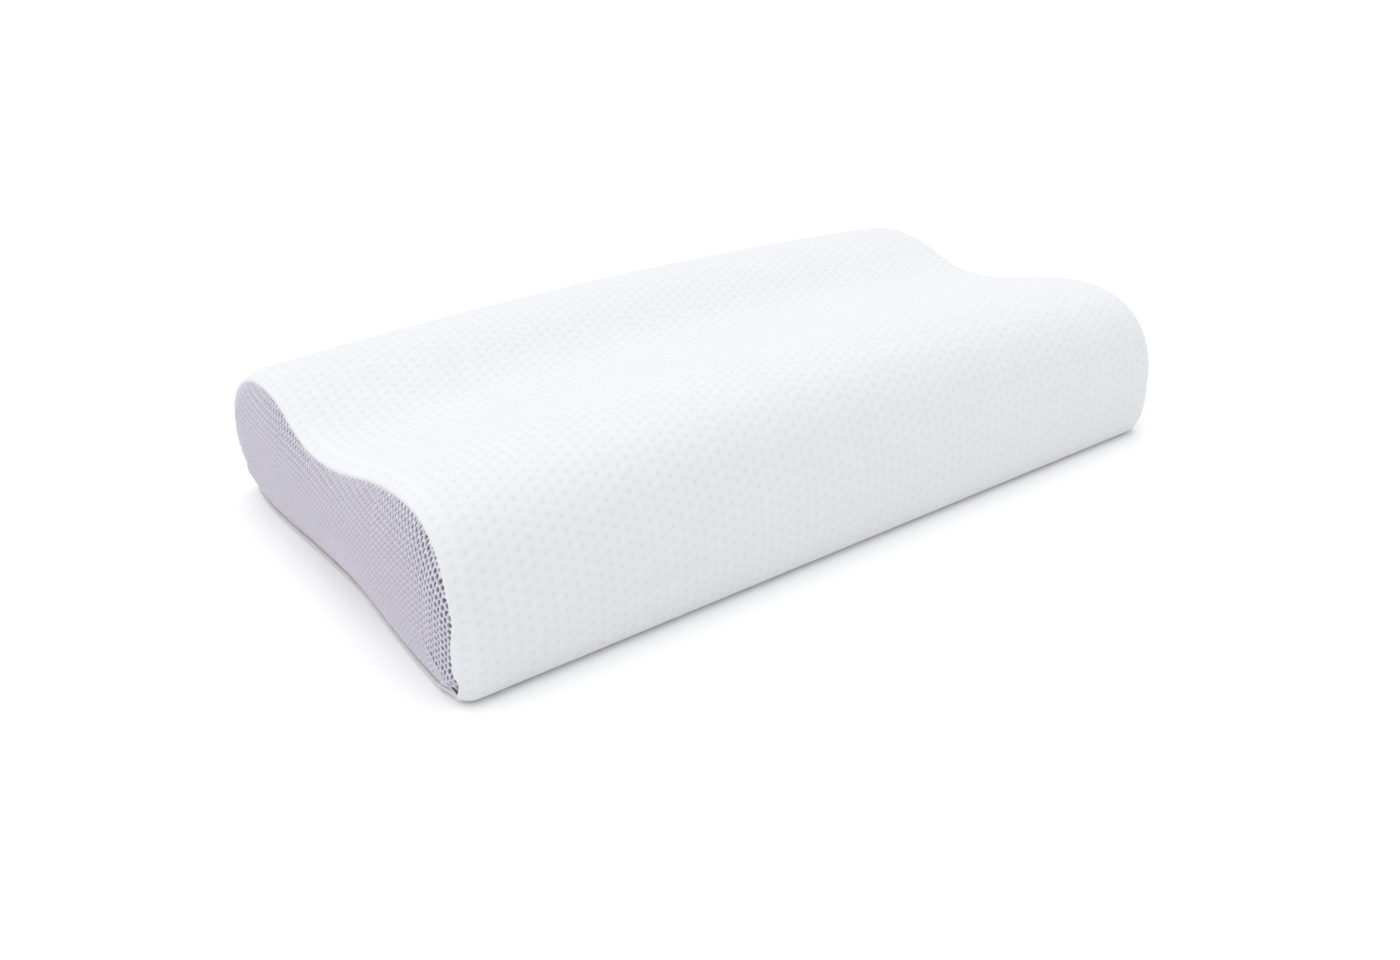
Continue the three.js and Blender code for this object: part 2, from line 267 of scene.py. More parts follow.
def leaned(points):
    """Moves points near the ends along X: out towards the base, and in again where the base is pulled."""
    x, y, z = points[..., 0], points[..., 1], points[..., 2]
    out = LEAN_OUT * smooth((LEAN_TOP - z) / LEAN_HEIGHT)
    middle = REAR_Y - DIP_SETBACK - PULL_SETBACK
    pull = DIP_PULL * np.exp(-((y - middle) / DIP_PULL_REACH) ** 2)
    pull = pull + REAR_PULL * smooth((y - middle) / REAR_PULL_REACH)
    pull = pull + CORNER_PULL * smooth((y - REAR_Y + CORNER_PULL_START) / CORNER_PULL_REACH)
    out = out - pull * smooth(1 - z / PULL_HEIGHT)
    out = out * smooth((np.abs(x) - STRAIGHT_X + LEAN_LENGTH) / LEAN_LENGTH)
    return np.stack([x + np.sign(x) * out, y, z], -1)


def seam_turn(s):
    """How far the cover turns round the end before the end seam, by the place s round the side profile."""
    points, inward = profile.at(s)
    based = smooth((inward[..., 1] - 0.9) / 0.08)
    height = points[..., 1]
    foot = smooth((FOOT_SEAM_HIGH - height) / FOOT_SEAM_FADE_HIGH)
    foot = foot * smooth((height - FOOT_SEAM_LOW) / FOOT_SEAM_FADE_LOW)
    base_turn = BASE_SEAM_TURN + (CORNER_SEAM_TURN - BASE_SEAM_TURN) * front_end(points[..., 0])
    return SEAM_TURN + (FOOT_SEAM_TURN - SEAM_TURN) * foot + (base_turn - SEAM_TURN) * based


def front_end(y):
    """0 along the base and 1 at its front corner."""
    return smooth((FRONT_Y + CORNER_LENGTH - y) / CORNER_FADE)


def seam_inset(s):
    """How far inside the side profile the end seam runs."""
    return END_ROUND_INSET * (1 - np.cos(seam_turn(s))) + SEAM_TAKE_IN


def to_seam(u, s):
    """Stretches u over the rounded ends so that SEAM_U lands on the end seam."""
    turned = (np.abs(u) - STRAIGHT_X) * seam_turn(s) / SEAM_TURN
    return np.sign(u) * (np.minimum(np.abs(u), STRAIGHT_X) + np.maximum(turned, 0))


def surface(u, s, depth=0.0):
    """Points at a depth below the form's face: u along X and round the ends, s round the side profile."""
    u, s, depth = np.broadcast_arrays(u, s, depth)
    turn = turn_at(u)
    out_x, out_side = END_ROUND_INSET * np.sin(turn), END_ROUND_LENGTH * np.cos(turn)
    size = np.hypot(out_x, out_side)
    x = along(u) - np.sign(u) * depth * out_x / size
    inset = END_ROUND_INSET * (1 - np.cos(turn)) + depth * out_side / size
    points, inward = profile.at(s)
    y = points[..., 0] + inward[..., 0] * inset
    z = (points[..., 1] + inward[..., 1] * inset) * growth(x)
    return leaned(np.stack([x, y, z], -1))


def smooth(value):
    """0 to 1 with soft ends."""
    value = np.clip(value, 0, 1)
    return value * value * (3 - 2 * value)


# ---------------- mesh helpers

def link(name, data):
    """A new object in the scene."""
    made = bpy.data.objects.new(name, data)
    scene.collection.objects.link(made)
    return made


def shade_smooth(mesh, sharp_degrees=None):
    """Smooth shading, with sharp edges past an angle."""
    mesh.polygons.foreach_set("use_smooth", np.ones(len(mesh.polygons), bool))
    if sharp_degrees:
        mesh.set_sharp_from_angle(angle=math.radians(sharp_degrees))


def evaluated(made):
    """A new mesh of an object, with its modifiers or its curve applied."""
    return bpy.data.meshes.new_from_object(made.evaluated_get(bpy.context.evaluated_depsgraph_get()))


def coordinates(mesh):
    flat = np.zeros(len(mesh.vertices) * 3)
    mesh.vertices.foreach_get("co", flat)
    return flat.reshape(-1, 3)


def unit(vectors):
    return vectors / np.linalg.norm(vectors, axis=1)[:, None]


def squarer(wave, power):
    """A sine or cosine bent towards a square wave, for sections with flat sides."""
    return np.sign(wave) * np.abs(wave) ** power


def add_object(name, points, faces, uv=None, values=None, sharp_degrees=None):
    """A mesh object from points and faces, with a cloth map in metres and point values by name."""
    mesh = bpy.data.meshes.new(name)
    mesh.from_pydata(np.asarray(points, float).tolist(), [], faces)
    mesh.validate()
    corners = np.zeros(len(mesh.loops), np.int32)
    mesh.loops.foreach_get("vertex_index", corners)
    if uv is not None:
        layer = mesh.uv_layers.new(name="Cloth")
        layer.data.foreach_set("uv", np.asarray(uv, np.float32)[corners].ravel())
    for key, value in (values or {}).items():
        attribute = mesh.attributes.new(key, "FLOAT", "POINT")
        attribute.data.foreach_set("value", np.asarray(value, np.float32).ravel())
    shade_smooth(mesh, sharp_degrees)
    return link(name, mesh)


def grid_faces(rows, columns, first=0, flip=False):
    """Quads between rows x columns points."""
    at = first + np.arange(rows * columns).reshape(rows, columns)
    quads = np.stack([at[:-1, :-1], at[1:, :-1], at[1:, 1:], at[:-1, 1:]], -1).reshape(-1, 4)
    return (quads[:, ::-1] if flip else quads).tolist()


def rim(rows, columns, first=0):
    """Point numbers round the edge of a grid, in order."""
    at = first + np.arange(rows * columns).reshape(rows, columns)
    return np.concatenate([at[:-1, 0], at[-1, :-1], at[:0:-1, -1], at[0, :0:-1]])


def shell(name, outer, inner, step, uv, values):
    """A closed cloth: a fine outer grid and an inner one step times coarser, joined round their edges."""
    rows, columns = outer.shape[:2]
    first = rows * columns
    faces = grid_faces(rows, columns) + grid_faces(*inner.shape[:2], first, flip=True)
    fine, coarse = rim(rows, columns), rim(*inner.shape[:2], first)
    half = step // 2
    for k, here in enumerate(coarse):
        ahead = coarse[(k + 1) % len(coarse)]
        run = [int(fine[(k * step + i) % len(fine)]) for i in range(step + 1)]
        faces += [(run[i + 1], run[i], int(here)) for i in range(half)]
        faces.append((run[half], int(here), int(ahead)))
        faces += [(run[i + 1], run[i], int(ahead)) for i in range(half, step)]
    points = np.vstack([outer.reshape(-1, 3), inner.reshape(-1, 3)])
    pad = inner.shape[0] * inner.shape[1]
    uv = np.vstack([uv.reshape(-1, 2), uv[::step, ::step].reshape(-1, 2)])
    values = {key: np.append(value.ravel(), np.zeros(pad)) for key, value in values.items()}
    return add_object(name, points, faces, uv, values)


def loft(name, rings, caps=True, sharp_degrees=None, map_axes=None):
    """A closed solid through rings of as many points each. Without caps the last ring joins the first."""
    rings = np.asarray(rings)
    count, around = rings.shape[:2]
    at = np.arange(count * around).reshape(count, around)
    at = np.hstack([at, at[:, :1]])
    if not caps:
        at = np.vstack([at, at[:1]])
    quads = np.stack([at[:-1, :-1], at[1:, :-1], at[1:, 1:], at[:-1, 1:]], -1).reshape(-1, 4)
    faces = quads.tolist()
    if caps:
        faces += [at[0, :-1].tolist(), at[-1, :-1][::-1].tolist()]
    points = rings.reshape(-1, 3)
    uv = points[:, map_axes] if map_axes else None
    return add_object(name, points, faces, uv, sharp_degrees=sharp_degrees)


def outward(made):
    """Turns a closed mesh's faces outwards."""
    work = bmesh.new()
    work.from_mesh(made.data)
    bmesh.ops.recalc_face_normals(work, faces=work.faces)
    work.to_mesh(made.data)
    work.free()
    return made


def solids(name, builds, bevel):
    """One object of several closed solids with bevelled edges, each an outline between two planes."""
    work = bmesh.new()
    for outline, axis, low, high in builds:
        bottom = [work.verts.new(place(point, axis, low)) for point in outline]
        top = [work.verts.new(place(point, axis, high)) for point in outline]
        count = len(outline)
        made = [work.faces.new(bottom[::-1]), work.faces.new(top)]
        for k in range(count):
            ahead = (k + 1) % count
            made.append(work.faces.new((bottom[k], bottom[ahead], top[ahead], top[k])))
        bmesh.ops.recalc_face_normals(work, faces=made)
    sharp = [e for e in work.edges if e.calc_face_angle(0) > math.radians(35)]
    bmesh.ops.bevel(work, geom=sharp, offset=bevel, segments=3, profile=0.5, affect="EDGES",
                    clamp_overlap=True)
    mesh = bpy.data.meshes.new(name)
    work.to_mesh(mesh)
    work.free()
    shade_smooth(mesh, 40)
    return link(name, mesh)


def place(point, axis, level):
    """A point of a flat outline, at a level along the axis that the outline doesn't have."""
    full = list(point)
    full.insert("xyz".index(axis), level)
    return full


def box_outline(low, high):
    return [(low[0], low[1]), (high[0], low[1]), (high[0], high[1]), (low[0], high[1])]


# ---------------- materials

class Look:
    """A Principled material and the nodes that feed it."""

    def __init__(self, name, colour, roughness, **sockets):
        self.material = bpy.data.materials.new(name)
        self.material.use_nodes = True
        self.tree = self.material.node_tree
        self.shader = self.tree.nodes["Principled BSDF"]
        self.shader.inputs["Base Color"].default_value = (*colour, 1)
        self.shader.inputs["Roughness"].default_value = roughness
        for key, value in sockets.items():
            self.shader.inputs[key.replace("_", " ").title()].default_value = value
        self.colour = (*colour, 1)
        self.normal = None

    def node(self, kind, **settings):
        made = self.tree.nodes.new(kind)
        for key, value in settings.items():
            setattr(made, key, value)
        return made

    def feed(self, socket, value):
        if isinstance(value, bpy.types.NodeSocket):
            self.tree.links.new(value, socket)
        else:
            socket.default_value = value

    def math(self, operation, *values):
        made = self.node("ShaderNodeMath", operation=operation)
        for socket, value in zip(made.inputs, values):
            self.feed(socket, value)
        return made.outputs[0]

    def point_value(self, name):
        return self.node("ShaderNodeAttribute", attribute_name=name).outputs["Fac"]

    def cloth(self):
        """The two directions of the cloth, in metres."""
        made = self.node("ShaderNodeSeparateXYZ")
        self.feed(made.inputs[0], self.node("ShaderNodeUVMap", uv_map="Cloth").outputs[0])
        return made.outputs[0], made.outputs[1]

    def object_place(self):
        return self.node("ShaderNodeTexCoord").outputs["Object"]

    def object_axes(self):
        made = self.node("ShaderNodeSeparateXYZ")
        self.feed(made.inputs[0], self.object_place())
        return made.outputs[0], made.outputs[1], made.outputs[2]

    def wave(self, value, pitch, phase=0.0):
        """A sine from 0 to 1 over the given pitch in metres."""
        turns = self.math("MULTIPLY_ADD", value, math.tau / pitch, phase)
        return self.math("MULTIPLY_ADD", self.math("SINE", turns), 0.5, 0.5)

    def noise(self, size, detail=3.0):
        made = self.node("ShaderNodeTexNoise")
        self.feed(made.inputs["Vector"], self.object_place())
        made.inputs["Scale"].default_value = 1 / size
        made.inputs["Detail"].default_value = detail
        return made.outputs["Fac"]

    def cells(self, size):
        made = self.node("ShaderNodeTexVoronoi", feature="F1")
        self.feed(made.inputs["Vector"], self.object_place())
        made.inputs["Scale"].default_value = 1 / size
        return made.outputs["Distance"]

    def stretch(self, value, low, high, to_low=0.0, to_high=1.0):
        made = self.node("ShaderNodeMapRange")
        for socket, number in zip(made.inputs, (value, low, high, to_low, to_high)):
            self.feed(socket, number)
        return made.outputs[0]

    def tint(self, share, colour):
        """Mixes the colour so far with another."""
        made = self.node("ShaderNodeMix", data_type="RGBA")
        self.feed(made.inputs["Factor"], share)
        self.feed(made.inputs["A"], self.colour)
        self.feed(made.inputs["B"], (*colour, 1))
        self.colour = made.outputs["Result"]
        self.feed(self.shader.inputs["Base Color"], self.colour)

    def relief(self, height, distance, strength=1.0):
        """Adds a bump of that height in metres."""
        made = self.node("ShaderNodeBump")
        made.inputs["Strength"].default_value = strength
        made.inputs["Distance"].default_value = distance
        self.feed(made.inputs["Height"], height)
        if self.normal:
            self.feed(made.inputs["Normal"], self.normal)
        self.normal = made.outputs[0]
        self.feed(self.shader.inputs["Normal"], self.normal)

    def patches(self, size, share, colour, low=0.3, high=0.7, detail=3.0):
        """Soft patches of another colour, about as large as size."""
        self.tint(self.stretch(self.noise(size, detail), low, high, 0.0, share), colour)

    def shaded_hollows(self, height, reach, share, colour):
        """Painted shade: another, darker colour where a relief lies low."""
        self.tint(self.stretch(height, 0.0, reach, share, 0.0), colour)

    def uneven_gloss(self, size, low, high, detail=3.0):
        """Roughness that wanders between two values."""
        value = self.stretch(self.noise(size, detail), 0.3, 0.7, low, high)
        self.feed(self.shader.inputs["Roughness"], value)

    def knit(self, wale, course, distance):
        """V-shaped loops: wales along the first cloth direction, courses along the second."""
        across, up = self.cloth()
        in_wale = self.math("FRACT", self.math("DIVIDE", across, wale))
        lean = self.math("ABSOLUTE", self.math("SUBTRACT", in_wale, 0.5))
        leaned = self.math("MULTIPLY_ADD", lean, 1.2 * course, up)
        loops = self.wave(leaned, course)
        legs = self.math("SINE", self.math("MULTIPLY", lean, math.tau))
        height = self.math("MULTIPLY", self.math("MULTIPLY_ADD", legs, 0.7, 0.3), loops)
        self.relief(height, distance)
        return height


def knit_look():
    """White double knit with woven-in dimples."""
    look = Look("cover_knit", (0.796, 0.798, 0.818), 0.88, sheen_weight=0.18, sheen_roughness=0.5)
    height = look.knit(0.95 * MM, 0.8 * MM, 0.1 * MM)
    look.patches(45 * MM, 0.35, (0.774, 0.78, 0.792), 0.35, 0.65, 2.0)
    # Painted shade where the knit's loops lie low.
    look.shaded_hollows(height, 0.5, 0.12, (0.6, 0.606, 0.624))
    # Painted shade: the dimples are tinted darker.
    look.tint(look.stretch(look.point_value("dimple"), 0.0, 0.8, 0.0, 0.36), (0.636, 0.642, 0.66))
    look.relief(look.noise(1.4 * MM, 4.0), 0.08 * MM, 0.6)
    look.uneven_gloss(3 * MM, 0.82, 0.94)
    return look.material


def underside_look():
    """Plain grey-white knit with fine ribs."""
    look = Look("underside_knit", (0.744, 0.744, 0.762), 0.92, sheen_weight=0.1)
    height = look.knit(1.1 * MM, 0.9 * MM, 0.12 * MM)
    look.patches(30 * MM, 0.4, (0.696, 0.696, 0.72), 0.35, 0.65, 2.0)
    # Painted shade where the knit's loops lie low.
    look.shaded_hollows(height, 0.5, 0.25, (0.504, 0.504, 0.54))
    # Painted shadow line: darker along the front seam.
    look.tint(look.point_value("edge"), (0.576, 0.576, 0.6))
    look.relief(look.noise(1.5 * MM, 4.0), 0.1 * MM, 0.5)
    return look.material


def spacer_look():
    """Lavender-grey spacer mesh: pale yarns round holes, with painted shade on the hole floors."""
    look = Look("spacer_mesh", (0.762, 0.738, 0.822), 0.85, sheen_weight=0.12)
    across, up = look.cloth()
    filaments = look.wave(look.math("ADD", across, look.math("MULTIPLY", up, 0.45)), 0.42 * MM)
    look.relief(filaments, 0.06 * MM, 0.8)
    look.patches(25 * MM, 0.4, (0.726, 0.702, 0.78), 0.3, 0.7, 2.0)
    # Painted shade between the filaments.
    look.shaded_hollows(filaments, 0.6, 0.2, (0.6, 0.576, 0.66))
    # Painted shade: the floors of the holes are tinted near black.
    look.tint(look.stretch(look.point_value("hole"), 0.1, 0.8, 0.0, 0.95), (0.12, 0.115, 0.15))
    look.uneven_gloss(2 * MM, 0.78, 0.92)
    return look.material


def ribbed_look(name, colour, shade, rib, distance, roughness=0.8, **sockets):
    """A woven tape: ribs in the cloth's own directions."""
    look = Look(name, colour, roughness, **sockets)
    across, up = look.cloth()
    twill = look.wave(look.math("ADD", across, look.math("PINGPONG", up, 2.2 * MM)), rib)
    cross = look.wave(across, rib * 0.7)
    height = look.math("MULTIPLY_ADD", twill, 0.7, look.math("MULTIPLY", cross, 0.3))
    look.relief(height, distance)
    # Painted shade in the grooves between the ribs.
    look.shaded_hollows(height, 0.6, 0.45, shade)
    look.patches(8 * MM, 0.25, shade, 0.35, 0.65)
    return look.material


def liner_look():
    """Thin off-white jersey."""
    look = Look("liner_jersey", (0.83, 0.82, 0.80), 0.92, sheen_weight=0.1)
    x, y, z = look.object_axes()
    wales = look.wave(x, 1.2 * MM)
    courses = look.wave(look.math("ADD", y, z), 0.9 * MM)
    height = look.math("MULTIPLY", wales, courses)
    look.relief(height, 0.1 * MM)
    # Painted shade where the jersey's loops lie low.
    look.shaded_hollows(height, 0.6, 0.3, (0.66, 0.65, 0.63))
    look.patches(20 * MM, 0.3, (0.78, 0.77, 0.75))
    return look.material


def foam_look():
    """Cream moulded foam with open pores."""
    look = Look("memory_foam", (0.87, 0.80, 0.62), 0.95, subsurface_weight=0.1)
    look.shader.inputs["Subsurface Radius"].default_value = (3 * MM, 2 * MM, 1 * MM)
    pores = look.stretch(look.cells(1.6 * MM), 0.1, 0.45)
    look.relief(pores, 0.25 * MM, 0.7)
    look.relief(look.noise(0.7 * MM, 5.0), 0.12 * MM, 0.5)
    # Painted shade in the pores.
    look.shaded_hollows(pores, 0.7, 0.5, (0.72, 0.62, 0.42))
    look.patches(60 * MM, 0.4, (0.84, 0.75, 0.55), 0.3, 0.7, 2.0)
    return look.material


def coil_look():
    """White nylon monofilament."""
    look = Look("zip_nylon", (0.792, 0.792, 0.804), 0.32, subsurface_weight=0.15, coat_weight=0.2)
    look.shader.inputs["Subsurface Radius"].default_value = (1 * MM, 1 * MM, 1 * MM)
    look.relief(look.noise(0.6 * MM), 0.03 * MM, 0.5)
    look.patches(12 * MM, 0.4, (0.696, 0.696, 0.72), 0.35, 0.65)
    look.uneven_gloss(1.5 * MM, 0.25, 0.42)
    return look.material


def metal_look():
    """Cast zinc with a soft nickel polish, a little worn on its corners."""
    look = Look("zip_metal", (0.60, 0.60, 0.62), 0.28, metallic=1.0)
    look.relief(look.noise(0.9 * MM, 4.0), 0.03 * MM, 0.6)
    wear = look.node("ShaderNodeNewGeometry").outputs["Pointiness"]
    look.tint(look.stretch(wear, 0.5, 0.6, 0.0, 0.8), (0.80, 0.79, 0.78))
    look.patches(2.5 * MM, 0.5, (0.46, 0.46, 0.49), 0.45, 0.7)
    look.uneven_gloss(1.8 * MM, 0.2, 0.45, 5.0)
    return look.material


def label_look():
    """Blank satin ribbon."""
    look = Look("label_satin", (0.792, 0.792, 0.798), 0.45, sheen_weight=0.3, anisotropic=0.4)
    across, up = look.cloth()
    floats = look.math("MULTIPLY", look.wave(across, 0.5 * MM), look.wave(up, 1.5 * MM))
    look.relief(floats, 0.04 * MM)
    # Painted shade between the floats.
    look.shaded_hollows(floats, 0.6, 0.2, (0.624, 0.624, 0.636))
    look.patches(10 * MM, 0.25, (0.72, 0.72, 0.708), 0.35, 0.65)
    return look.material


def thread_look():
    """Twisted white sewing thread."""
    look = Look("sewing_thread", (0.816, 0.816, 0.84), 0.6, sheen_weight=0.2)
    x, y, z = look.object_axes()
    plies = look.wave(look.math("ADD", x, look.math("ADD", y, z)), 0.35 * MM)
    look.relief(plies, 0.05 * MM)
    # Painted shade between the plies.
    look.shaded_hollows(plies, 0.7, 0.4, (0.6, 0.6, 0.636))
    return look.material


def floor_look():
    look = Look("studio_floor", (0.97, 0.97, 0.97), 0.9)
    look.patches(900 * MM, 0.2, (0.965, 0.965, 0.97), 0.4, 0.6, 1.0)
    return look.material


def finish_piece(made, look, slot, body, *nodes):
    """Gives a piece its material and its body, and hides the CAD nodes that it stands for. The slot is not
    used.
    """
    made.data.materials.clear()
    made.data.materials.append(look)
    if body:
        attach(made, body)
    if nodes:
        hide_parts(*nodes)
    return made


# ---------------- how the cover swells

SWELL_MOST = 1.6 * MM
SWELL_VOXEL = 8 * MM
SWELL_FRAMES = 20
SWELL_CLOTH = dict(quality=4, mass=0.3, tension_stiffness=30, compression_stiffness=30, bending_stiffness=2,
                   use_pressure=True, uniform_pressure_force=4, vertex_group_mass="held")


def held_down(points):
    """1 where the cover is sewn or rests on something, and 0 where it is free."""
    x, y, z = points.T
    sewn = np.abs(x) > END_X - 14 * MM
    end_face = (np.abs(x) > END_X - 2 * MM) & (z > 16 * MM) & (z < 80 * MM) & (np.abs(y) < 140 * MM)
    based = z < 14 * MM
    zipped = (y > REAR_Y - 20 * MM) & (z < ZIP_Z + 24 * MM)
    return ((sewn & ~end_face) | based | zipped).astype(float)


class Swelling:
    """How far the cover stands off the foam, from a cloth simulation of the whole skin."""

    def __init__(self):
        self.tree = None
        self.simulate()

    def start_mesh(self):
        u = np.linspace(-1, 1, 90) * FAR_U
        s = np.linspace(0, profile.length, 130, endpoint=False)
        rings = surface(u[:, None], s[None, :], 1.5 * MM)
        skin = loft("swelling_skin", rings)
        remesh = skin.modifiers.new("even", "REMESH")
        remesh.mode = "VOXEL"
        remesh.voxel_size = SWELL_VOXEL
        even = evaluated(skin)
        skin.modifiers.clear()
        skin.data = even
        return skin

    def simulate(self):
        skin = self.start_mesh()
        rest = coordinates(skin.data)
        group = skin.vertex_groups.new(name="held")
        held = held_down(rest)
        group.add(np.flatnonzero(held > 0.5).tolist(), 1.0, "REPLACE")
        cloth = skin.modifiers.new("cloth", "CLOTH")
        for key, value in SWELL_CLOTH.items():
            setattr(cloth.settings, key, value)
        cloth.settings.effector_weights.gravity = 0
        for number in range(1, SWELL_FRAMES + 1):
            scene.frame_set(number)
        moved = evaluated(skin)
        normals = np.zeros(len(rest) * 3)
        skin.data.vertices.foreach_get("normal", normals)
        rise = ((coordinates(moved) - rest) * normals.reshape(-1, 3)).sum(1)
        self.rise = SWELL_MOST * np.tanh(np.maximum(rise, 0) / (3 * SWELL_MOST))
        self.tree = KDTree(len(rest))
        for number, point in enumerate(rest):
            self.tree.insert(point, number)
        self.tree.balance()
        scene.frame_set(1)
        bpy.data.objects.remove(skin)

    def at(self, points):
        """The rise at each point, as the near simulated points have it."""
        flat = points.reshape(-1, 3)
        if self.tree is None:
            return np.zeros(points.shape[:-1])
        found = np.zeros(len(flat))
        for number, point in enumerate(flat):
            near = self.tree.find_n(point, 6)
            weights = np.array([1 / (distance + 2 * MM) ** 2 for _, _, distance in near])
            rises = self.rise[[index for _, index, _ in near]]
            found[number] = (weights * rises).sum() / weights.sum()
        return found.reshape(points.shape[:-1])


# ---------------- the knitted cover

def seam_groove(distance, depth=GROOVE_DEPTH, roll=0.4 * MM):
    """Depth beside a seam: the cloth dives into it, after a small roll."""
    dive = depth * np.exp(-(distance / (0.65 * MM)) ** 1.5)
    swell = roll * np.exp(-((distance - 2.2 * MM) / (1.4 * MM)) ** 2)
    return dive - swell


def puckers(run, distance, reach, height, seed):
    """Small uneven gathers that stand square to a seam and die away from it."""
    random = np.random.default_rng(seed)
    wave = 0
    for pitch in (7.3 * MM, 11.9 * MM, 19.7 * MM):
        wave = wave + np.sin(math.tau * run / pitch + random.uniform(0, math.tau))
    patch = 0.55 + 0.45 * np.sin(math.tau * run / (83 * MM) + random.uniform(0, math.tau))
    return height * wave / 2 * patch * np.exp(-distance / reach)


def column_lines():
    """Grid lines along X, close together at each column of dimples and at the end seams."""
    count = int((SEAM_U - 4 * MM) / COLUMN_PITCH)
    centres = np.arange(-count, count + 1) * COLUMN_PITCH
    offsets = np.array([-DIMPLE_RADIUS, 0, DIMPLE_RADIUS, COLUMN_PITCH / 2])
    lines = (centres[:, None] + offsets).ravel()[:-1]
    edge = SEAM_U - np.array([2.4, 1.6, 0.9, 0.4, 0]) * MM
    return np.concatenate([-edge[::-1], lines, edge])


def row_lines(length):
    """Grid lines up the cloth, close together at each row of dimples and at its two edges."""
    first = 9 * MM
    count = int((length - 15 * MM - first) / ROW_PITCH) + 1
    centres = first + np.arange(count) * ROW_PITCH
    offsets = np.array([-DIMPLE_RADIUS, 0, DIMPLE_RADIUS, ROW_PITCH / 2])
    lines = (centres[:, None] + offsets).ravel()
    low_edge = np.array([0, 0.4, 0.9, 1.6, 2.4, 3.6, 5.4]) * MM
    high_edge = length - np.array([9, 6, 4.2, 2.9, 1.9, 1.1, 0.5, 0]) * MM
    lines = np.concatenate([low_edge, lines, high_edge])
    while (len(lines) - 1) % 4:
        widest = int(np.argmax(np.diff(lines)))
        lines = np.insert(lines, widest + 1, (lines[widest] + lines[widest + 1]) / 2)
    return lines, centres


def zip_cut(x):
    """How far the cloth stops short of the zip's centre line: along the slot, and nothing past its ends."""
    return SLOT_HALF_HEIGHT * smooth((SLOT_END_X + 1.7 * MM - np.abs(x)) / (3.4 * MM))


def sewn_cloth(name, u, s, depth, up, values):
    """A panel's closed cloth at a depth below the form's face, drawn out to the end seams."""
    sewn_u = to_seam(u, s)
    outer = surface(sewn_u, s, depth)
    inner_depth = np.maximum(KNIT_THICKNESS, depth[::4, ::4] + 0.9 * MM)
    inner = surface(sewn_u[::4, ::4], s[::4, ::4], inner_depth)
    return shell(name, outer, inner, 4, np.stack(np.broadcast_arrays(u, up), -1), values)


EVEN_END = 14 * MM
EDGE_ROOM = 8 * MM


def dimples(u, rows, centres, clear_of_edges):
    """1 at the middle of each dimple, and 1 at the middle of each puff of cloth between them."""
    columns = np.round(u / COLUMN_PITCH)
    off_column = np.abs(u - columns * COLUMN_PITCH)
    nearest = centres[np.abs(rows[:, None] - centres[None, :]).argmin(1)]
    off_row = np.abs(rows - nearest)[None, :]
    in_columns = np.abs(columns) * COLUMN_PITCH < SEAM_U - 3 * MM
    dimple = np.exp(-((off_column ** 2 + off_row ** 2) / (0.95 * DIMPLE_RADIUS) ** 2)) * in_columns
    puff = np.sin(math.pi * np.clip(off_column / (COLUMN_PITCH / 2), 0, 1) / 2)
    puff = puff * np.sin(math.pi * np.clip(off_row / (ROW_PITCH / 2), 0, 1) / 2)
    return dimple * (clear_of_edges > 0.9), puff


def main_panel(swelling, look):
    """The dimpled top cloth, from the front seam over both lobes to the zip."""
    u = column_lines()[:, None]
    x = along(u)
    start = profile.front(FRONT_SEAM_Z / growth(x))
    end = profile.rear((ZIP_Z + 0.15 * MM + zip_cut(x)) / growth(x))
    nominal = float(np.min(end - start))
    rows, centres = row_lines(nominal)
    cloth_row = rows[None, :]
    wave = 0.25 * ROW_PITCH * np.cos(math.pi * u / COLUMN_PITCH)
    clear_of_edges = smooth(cloth_row / EDGE_ROOM) * smooth((nominal - EDGE_ROOM - cloth_row) / (7 * MM))
    up = cloth_row + wave * clear_of_edges
    last_even = nominal - EVEN_END
    stretch = (end - start - last_even) / (nominal - last_even)
    s = start + np.where(up < last_even, up, last_even + (up - last_even) * stretch)

    dimple, puff = dimples(u, rows, centres, clear_of_edges)
    from_end = SEAM_U - np.abs(u)
    depth = DIMPLE_DEPTH * dimple - PUFF_HEIGHT * puff * clear_of_edges
    depth = depth + seam_groove(from_end) + seam_groove(s - start, 1.2 * MM, 0.3 * MM)
    depth = depth + seam_groove(end - s, 1.0 * MM, 0.25 * MM)
    depth = depth + puckers(s, from_end, 7 * MM, 0.22 * MM, 3)
    depth = depth + puckers(u, s - start, 5 * MM, 0.12 * MM, 5)
    depth = depth - swelling.at(surface(to_seam(u, s), s, 1.5 * MM))
    made = sewn_cloth("cover_main_panel_knit", u, s, depth, up, {"dimple": dimple})
    finish_piece(made, look, "cover_knit", "pillow", "cover_main_panel")
    return made


